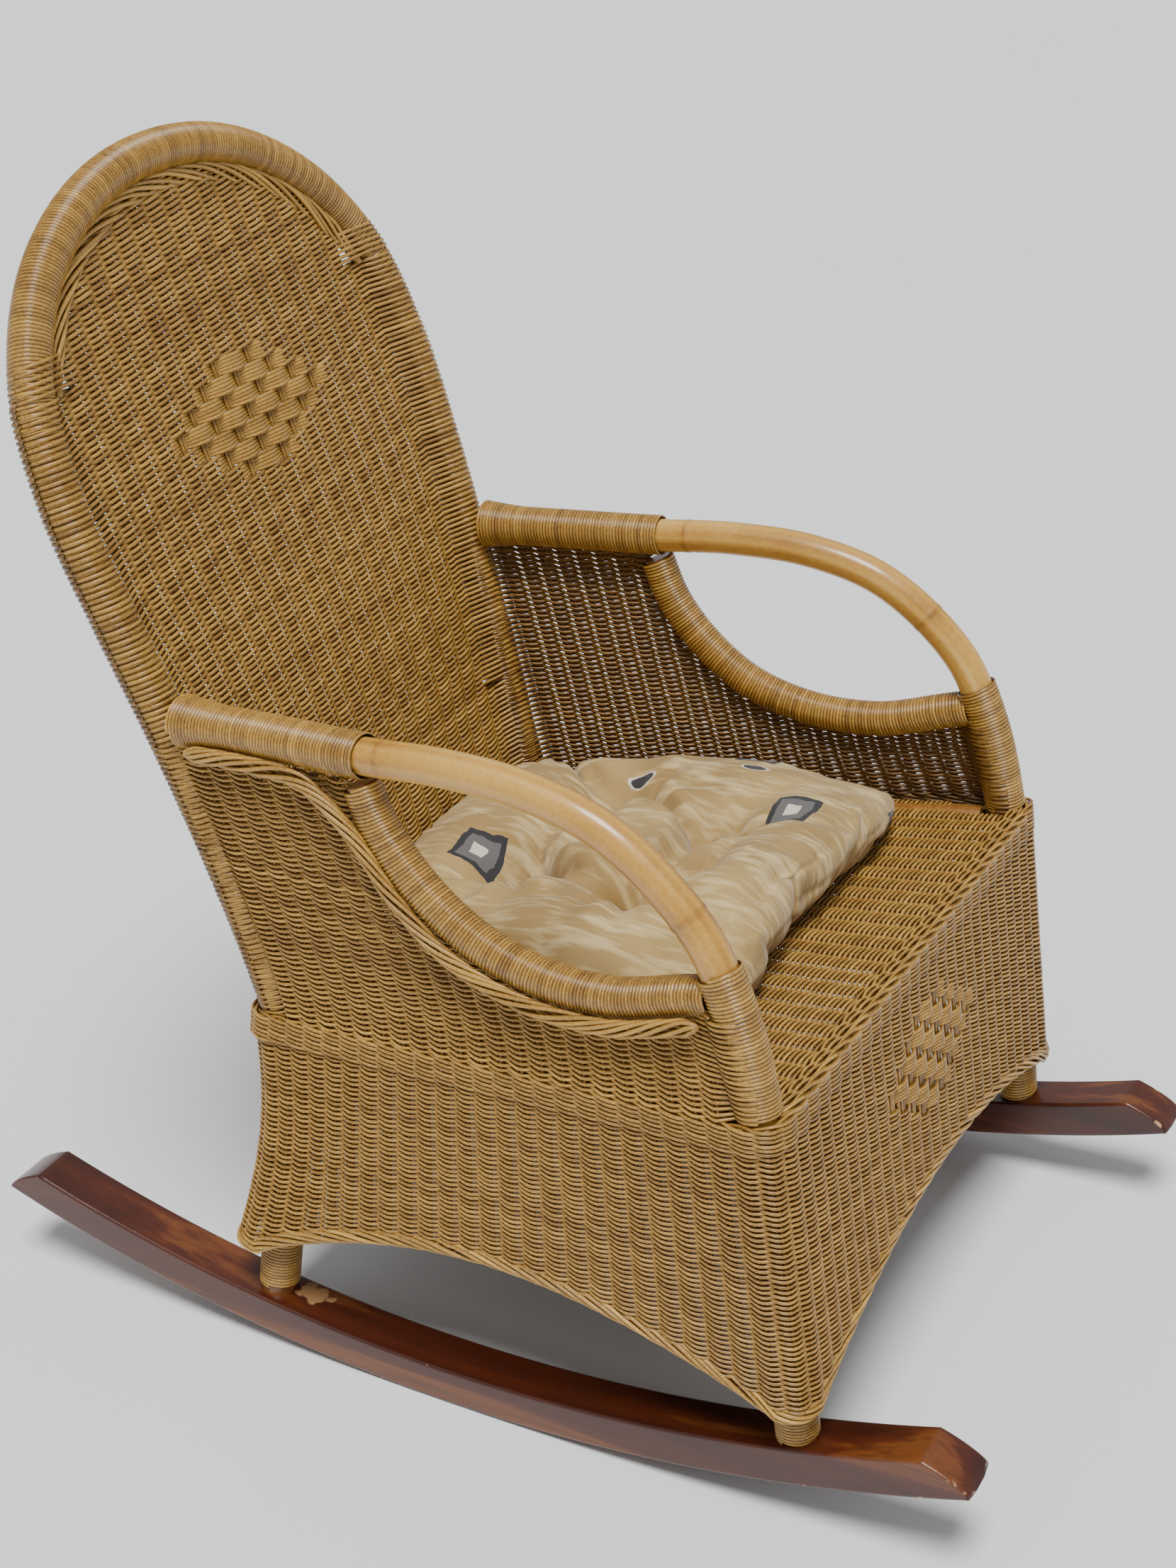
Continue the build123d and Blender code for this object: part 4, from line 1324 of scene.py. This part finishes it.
def wood_material():
    """Red-brown stained hardwood with paler sapwood streaks, worn edges and chipped tips."""
    material, tree, shader = new_material("rocker_wood")
    place = node(tree, "ShaderNodeTexCoord").outputs["Object"]
    worn = node(tree, "ShaderNodeAttribute", attribute_name="tone").outputs["Fac"]
    grain = link_noise(tree, stretched(tree, place, (260.0, 9.0, 260.0)), Scale=1.0, Detail=5.0)
    figure = link_noise(tree, stretched(tree, place, (34.0, 1.9, 34.0)), Scale=1.0, Detail=3.0)
    pores = link_noise(tree, stretched(tree, place, (900.0, 60.0, 900.0)), Scale=1.0, Detail=2.0)
    reds = [(0.32, (0.035, 0.007, 0.003)), (0.5, (0.07, 0.013, 0.004)), (0.68, (0.11, 0.022, 0.006))]
    sapwood = maths(tree, "MULTIPLY", step_up(tree, figure, 0.57, 0.64), 0.7)
    base = mixed(tree, sapwood, ramp(tree, figure, reds), (0.19, 0.06, 0.012))
    dark_grain = maths(tree, "MULTIPLY", step_up(tree, grain, 0.42, 0.7), 0.45)
    base = mixed(tree, dark_grain, base, (0.035, 0.01, 0.005))
    nick = link_noise(tree, place, Scale=95.0, Detail=4.0)
    bare = step_up(tree, maths(tree, "ADD", nick, maths(tree, "MULTIPLY", worn, 0.2)), 0.84, 0.9)
    base = mixed(tree, bare, base, (0.52, 0.33, 0.16))
    glue = glue_patch(tree, place, nick)
    base = mixed(tree, glue, base, (0.36, 0.19, 0.07))
    tree.links.new(base, shader.inputs["Base Color"])
    rough = maths(tree, "ADD", 0.24, maths(tree, "MULTIPLY", maths(tree, "MAXIMUM", bare, glue), 0.4))
    rough = maths(tree, "ADD", rough, maths(tree, "MULTIPLY", pores, 0.14))
    tree.links.new(rough, shader.inputs["Roughness"])
    add_bump(tree, shader, maths(tree, "ADD", pores, maths(tree, "MULTIPLY", bare, -1.5)), 0.22, 0.0005)
    add_coat(shader, 0.3, 0.2)
    return material


def glue_patch(tree, place, rough_edge):
    """A smear of old glue on the rocker, in front of the rear foot on the sitter's right."""
    away = node(tree, "ShaderNodeVectorMath", operation="DISTANCE")
    tree.links.new(stretched(tree, place, (1.6, 1.0, 0.6)), away.inputs[0])
    x, y, z = settle(GLUE_PLACE)
    away.inputs[1].default_value = (1.6 * x, y, 0.6 * z)
    ragged = varied(tree, away.outputs["Value"], rough_edge, 0.05)
    return maths(tree, "SUBTRACT", 1.0, step_up(tree, ragged, 0.013, 0.017))


def motif(tree, place, cell, least, metric):
    """Distance from the middle of a scattered motif, and whether a cell has one."""
    spots = node(tree, "ShaderNodeTexVoronoi", voronoi_dimensions="2D", distance=metric)
    spots.inputs["Scale"].default_value = 1 / cell
    spots.inputs["Randomness"].default_value = 0.75
    tree.links.new(place, spots.inputs["Vector"])
    chance = node(tree, "ShaderNodeSeparateColor")
    tree.links.new(spots.outputs["Color"], chance.inputs["Color"])
    chosen = maths(tree, "GREATER_THAN", chance.outputs["Red"], least)
    return spots.outputs["Distance"], chosen


def within(tree, distance, low, high, chosen):
    """1 where a distance lies between two others and its cell is chosen, and 0 elsewhere."""
    above = maths(tree, "GREATER_THAN", distance, low)
    below = maths(tree, "LESS_THAN", distance, high)
    return maths(tree, "MULTIPLY", maths(tree, "MULTIPLY", above, below), chosen)


def wavered(tree, place):
    """The print's places pushed about a little, so that its outlines look hand-drawn."""
    wander = node(tree, "ShaderNodeTexNoise", Scale=55.0, Detail=2.0)
    tree.links.new(place, wander.inputs["Vector"])
    shift = node(tree, "ShaderNodeVectorMath", operation="SCALE", Scale=0.008)
    tree.links.new(wander.outputs["Color"], shift.inputs[0])
    drawn = node(tree, "ShaderNodeVectorMath", operation="ADD")
    tree.links.new(place, drawn.inputs[0])
    tree.links.new(shift.outputs["Vector"], drawn.inputs[1])
    return drawn.outputs["Vector"]


def cloth_material():
    """Tan cotton printed with cream brush strokes, a few dark framed squares and small dark dabs."""
    material, tree, shader = new_material("cushion_cloth")
    place = node(tree, "ShaderNodeAttribute", attribute_name="print").outputs["Vector"]
    stroke = link_noise(tree, stretched(tree, place, (52.0, 15.0, 1.0)), Scale=1.0, Detail=4.0)
    brushed = link_noise(tree, stretched(tree, place, (210.0, 30.0, 1.0)), Scale=1.0, Detail=3.0)
    cloud = link_noise(tree, place, Scale=9.0, Detail=2.0)
    fine = maths(tree, "MULTIPLY", brushed, 0.38)
    cream = step_up(tree, maths(tree, "ADD", maths(tree, "MULTIPLY", stroke, 0.62), fine), 0.48, 0.6)
    base = mixed(tree, step_up(tree, cloud, 0.38, 0.64), (0.33, 0.205, 0.064), (0.46, 0.305, 0.105))
    base = mixed(tree, maths(tree, "MULTIPLY", cream, 0.8), base, (0.67, 0.515, 0.25))
    drawn = wavered(tree, place)
    square, has_square = motif(tree, drawn, 0.125, 0.45, "CHEBYCHEV")
    dab, has_dab = motif(tree, stretched(tree, drawn, (1.0, 0.4, 1.0)), 0.083, 0.62, "EUCLIDEAN")
    for distance, low, high, chosen, colour in (
        (square, -1.0, 0.05, has_square, (0.68, 0.62, 0.5)),
        (square, 0.05, 0.115, has_square, (0.12, 0.115, 0.11)),
        (square, 0.115, 0.155, has_square, (0.022, 0.021, 0.024)),
        (dab, 0.055, 0.068, has_dab, (0.68, 0.62, 0.5)),
        (dab, -1.0, 0.055, has_dab, (0.03, 0.028, 0.03)),
    ):
        base = mixed(tree, within(tree, distance, low, high, chosen), base, colour)
    tree.links.new(base, shader.inputs["Base Color"])
    solid = node(tree, "ShaderNodeTexCoord").outputs["Object"]
    weave = link_noise(tree, solid, Scale=1500.0, Detail=2.0)
    crease = link_noise(tree, solid, Scale=28.0, Detail=5.0)
    tree.links.new(step_up(tree, weave, -3.0, 1.4), shader.inputs["Roughness"])
    add_bump(tree, shader, maths(tree, "ADD", maths(tree, "MULTIPLY", weave, 0.1), crease), 0.5, 0.002)
    shader.inputs["Sheen Weight"].default_value = 0.25
    shader.inputs["Sheen Roughness"].default_value = 0.5
    return material


weave_cane = cane_material("weave_cane", *WEAVE_COLOURS, 0.4)
wrap_cane = cane_material("wrap_cane", *WRAP_COLOURS, 0.32)
pole_rattan = pole_material()
rocker_wood = wood_material()
cushion_cloth = cloth_material()


def main():
    walls()
    back()
    seat()
    arm_panels()
    wraps()
    poles()
    rockers()
    cushion()
    plain_nodes()
    camera()
    stage()


def walls():
    rows, stakes, band, border = Bag(), Bag(), Bag(), Bag()
    wall_rows(rows)
    diamond_blocks(rows, front_point, (0.0, 0.0, 1.0))
    rows.pieces("skirt_rows", weave_cane, "woven_strand", SKIRT_NODES)
    wall_stakes(stakes)
    stakes.pieces("skirt_stakes", weave_cane, "woven_strand")
    wale_band(band)
    band.pieces("seat_level_band", weave_cane, "woven_strand", ["seat_band_left", "seat_band_right"])
    lower_border(border)
    border.pieces("skirt_border", weave_cane, "woven_strand", BORDER_NODES)


def back():
    rows, stakes, braid = Bag(), Bag(), Bag()
    back_rows(rows)
    diamond_blocks(rows, back_point, BACK_UP)
    rows.pieces("back_rows", weave_cane, "woven_strand", ["back_panel"])
    back_stakes(stakes)
    stakes.pieces("back_stakes", weave_cane, "woven_strand")
    arch_braid(braid)
    braid.pieces("arch_plait", weave_cane, "woven_strand", ["back_braid"])


def seat():
    rows, stakes, edge = Bag(), Bag(), Bag()
    seat_rows(rows)
    rows.pieces("seat_rows", weave_cane, "woven_strand", ["seat_panel"])
    seat_stakes(stakes)
    stakes.pieces("seat_stakes", weave_cane, "woven_strand")
    seat_edge(edge)
    edge.pieces("seat_edge", weave_cane, "woven_strand", ["front_roll"])


def arm_panels():
    for side, word in SIDES:
        rows, stakes, braid = Bag(), Bag(), Bag()
        panel_rows(rows, side)
        rows.pieces(f"panel_rows_{word}", weave_cane, "woven_strand", [f"side_panel_{word}"])
        panel_stakes(stakes, side)
        stakes.pieces(f"panel_stakes_{word}", weave_cane, "woven_strand")
        arm_braid(braid)
        if side < 0:
            braid = braid.mirror()
        braid.pieces(f"arm_plait_{word}", weave_cane, "woven_strand", [f"side_braid_{word}"])


def wraps():
    arch = Bag()
    full = FRAME_POINTS + [(-x, y, z) for x, y, z in FRAME_POINTS[-2::-1]]
    wound(arch, full, ARCH_WRAP_RADIUS, ANYWHERE, ARCH_WRAP_Z)
    arch.pieces("arch_wrap", wrap_cane, "wrap_strand", ["back_frame_wrap"])
    for side, word in SIDES:
        for name, points, radius, y_span, z_span in WRAPS:
            bag = Bag()
            wound(bag, points, radius, y_span, z_span, ARM_WRAP_FLARE if name == "arm" else 0.0)
            if side < 0:
                bag = bag.mirror()
            bag.pieces(f"{name}_wind_{word}", wrap_cane, "wrap_strand", [f"{name}_wrap_{word}"])


def poles():
    for side, word in SIDES:
        bag = Bag()
        bare_pole(bag, ARM_POINTS, POLE_RADIUS, POLE_RINGS[word])
        if side < 0:
            bag = bag.mirror()
        bag.pieces(f"arm_cane_{word}", pole_rattan, "rattan_pole", [f"arm_pole_{word}"])


def rockers():
    for side, word in SIDES:
        bag = Bag()
        rocker_tube(bag, side)
        bag.pieces(f"rocker_wood_{word}", rocker_wood, "stained_hardwood", [f"rocker_{word}"])


def plain_nodes():
    """The poles that stay as CAD shapes, behind wraps and weave, take the rattan's material."""
    for name in CARRIED_NODES:
        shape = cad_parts[name]
        shape.data.materials.clear()
        shape.data.materials.append(pole_rattan)


def camera():
    """Camera at the photograph's place and angle, set in the chair's own frame."""
    yaw, pitch, roll = CAMERA_YAW, CAMERA_PITCH, CAMERA_ROLL
    flat = math.cos(pitch)
    forward = np.array([math.sin(yaw) * flat, math.cos(yaw) * flat, -math.sin(pitch)])
    level = np.array([math.cos(yaw), -math.sin(yaw), 0.0])
    down = np.cross(forward, level)
    right = math.cos(roll) * level + math.sin(roll) * down
    below = -math.sin(roll) * level + math.cos(roll) * down
    here = settle(CAMERA_PLACE)
    axes = [settle(np.array(CAMERA_PLACE) + 1000.0 * v) - here for v in (right, -below, -forward)]
    data = bpy.data.cameras.new("camera")
    data.sensor_fit = "VERTICAL"
    data.sensor_height = CAMERA_SENSOR
    data.lens = CAMERA_LENS
    thing = bpy.data.objects.new("camera", data)
    rows = [(*row, place) for row, place in zip(np.transpose(axes), here)]
    thing.matrix_world = Matrix([*rows, (0, 0, 0, 1)])
    bpy.context.scene.collection.objects.link(thing)
    bpy.context.scene.camera = thing


def stage():
    """Pale floor, even light from all round and one soft sun."""
    mesh = bpy.data.meshes.new("floor")
    half = FLOOR_HALF
    corners = [(-half, -half, 0), (half, -half, 0), (half, half, 0), (-half, half, 0)]
    mesh.from_pydata(corners, [], [(0, 1, 2, 3)])
    material, tree, shader = new_material("floor_paint")
    speck = node(tree, "ShaderNodeTexNoise", Scale=2.5, Detail=3.0)
    colour = ramp(tree, speck.outputs["Fac"], [(0.3, (0.84, 0.85, 0.85)), (0.7, (0.89, 0.895, 0.89))])
    tree.links.new(colour, shader.inputs["Base Color"])
    shader.inputs["Roughness"].default_value = 0.7
    mesh.materials.append(material)
    floor = bpy.data.objects.new("floor", mesh)
    bpy.context.scene.collection.objects.link(floor)
    world = bpy.data.worlds.new("room")
    world.use_nodes = True
    world.node_tree.nodes["Background"].inputs["Color"].default_value = ROOM_COLOUR
    world.node_tree.nodes["Background"].inputs["Strength"].default_value = ROOM_STRENGTH
    bpy.context.scene.world = world
    sun = bpy.data.lights.new("daylight", "SUN")
    sun.energy = SUN_STRENGTH
    sun.angle = SUN_SPREAD
    thing = bpy.data.objects.new("daylight", sun)
    thing.location = SUN_PLACE
    thing.rotation_euler = Vector(SUN_PLACE).to_track_quat("Z", "Y").to_euler()
    bpy.context.scene.collection.objects.link(thing)


main()
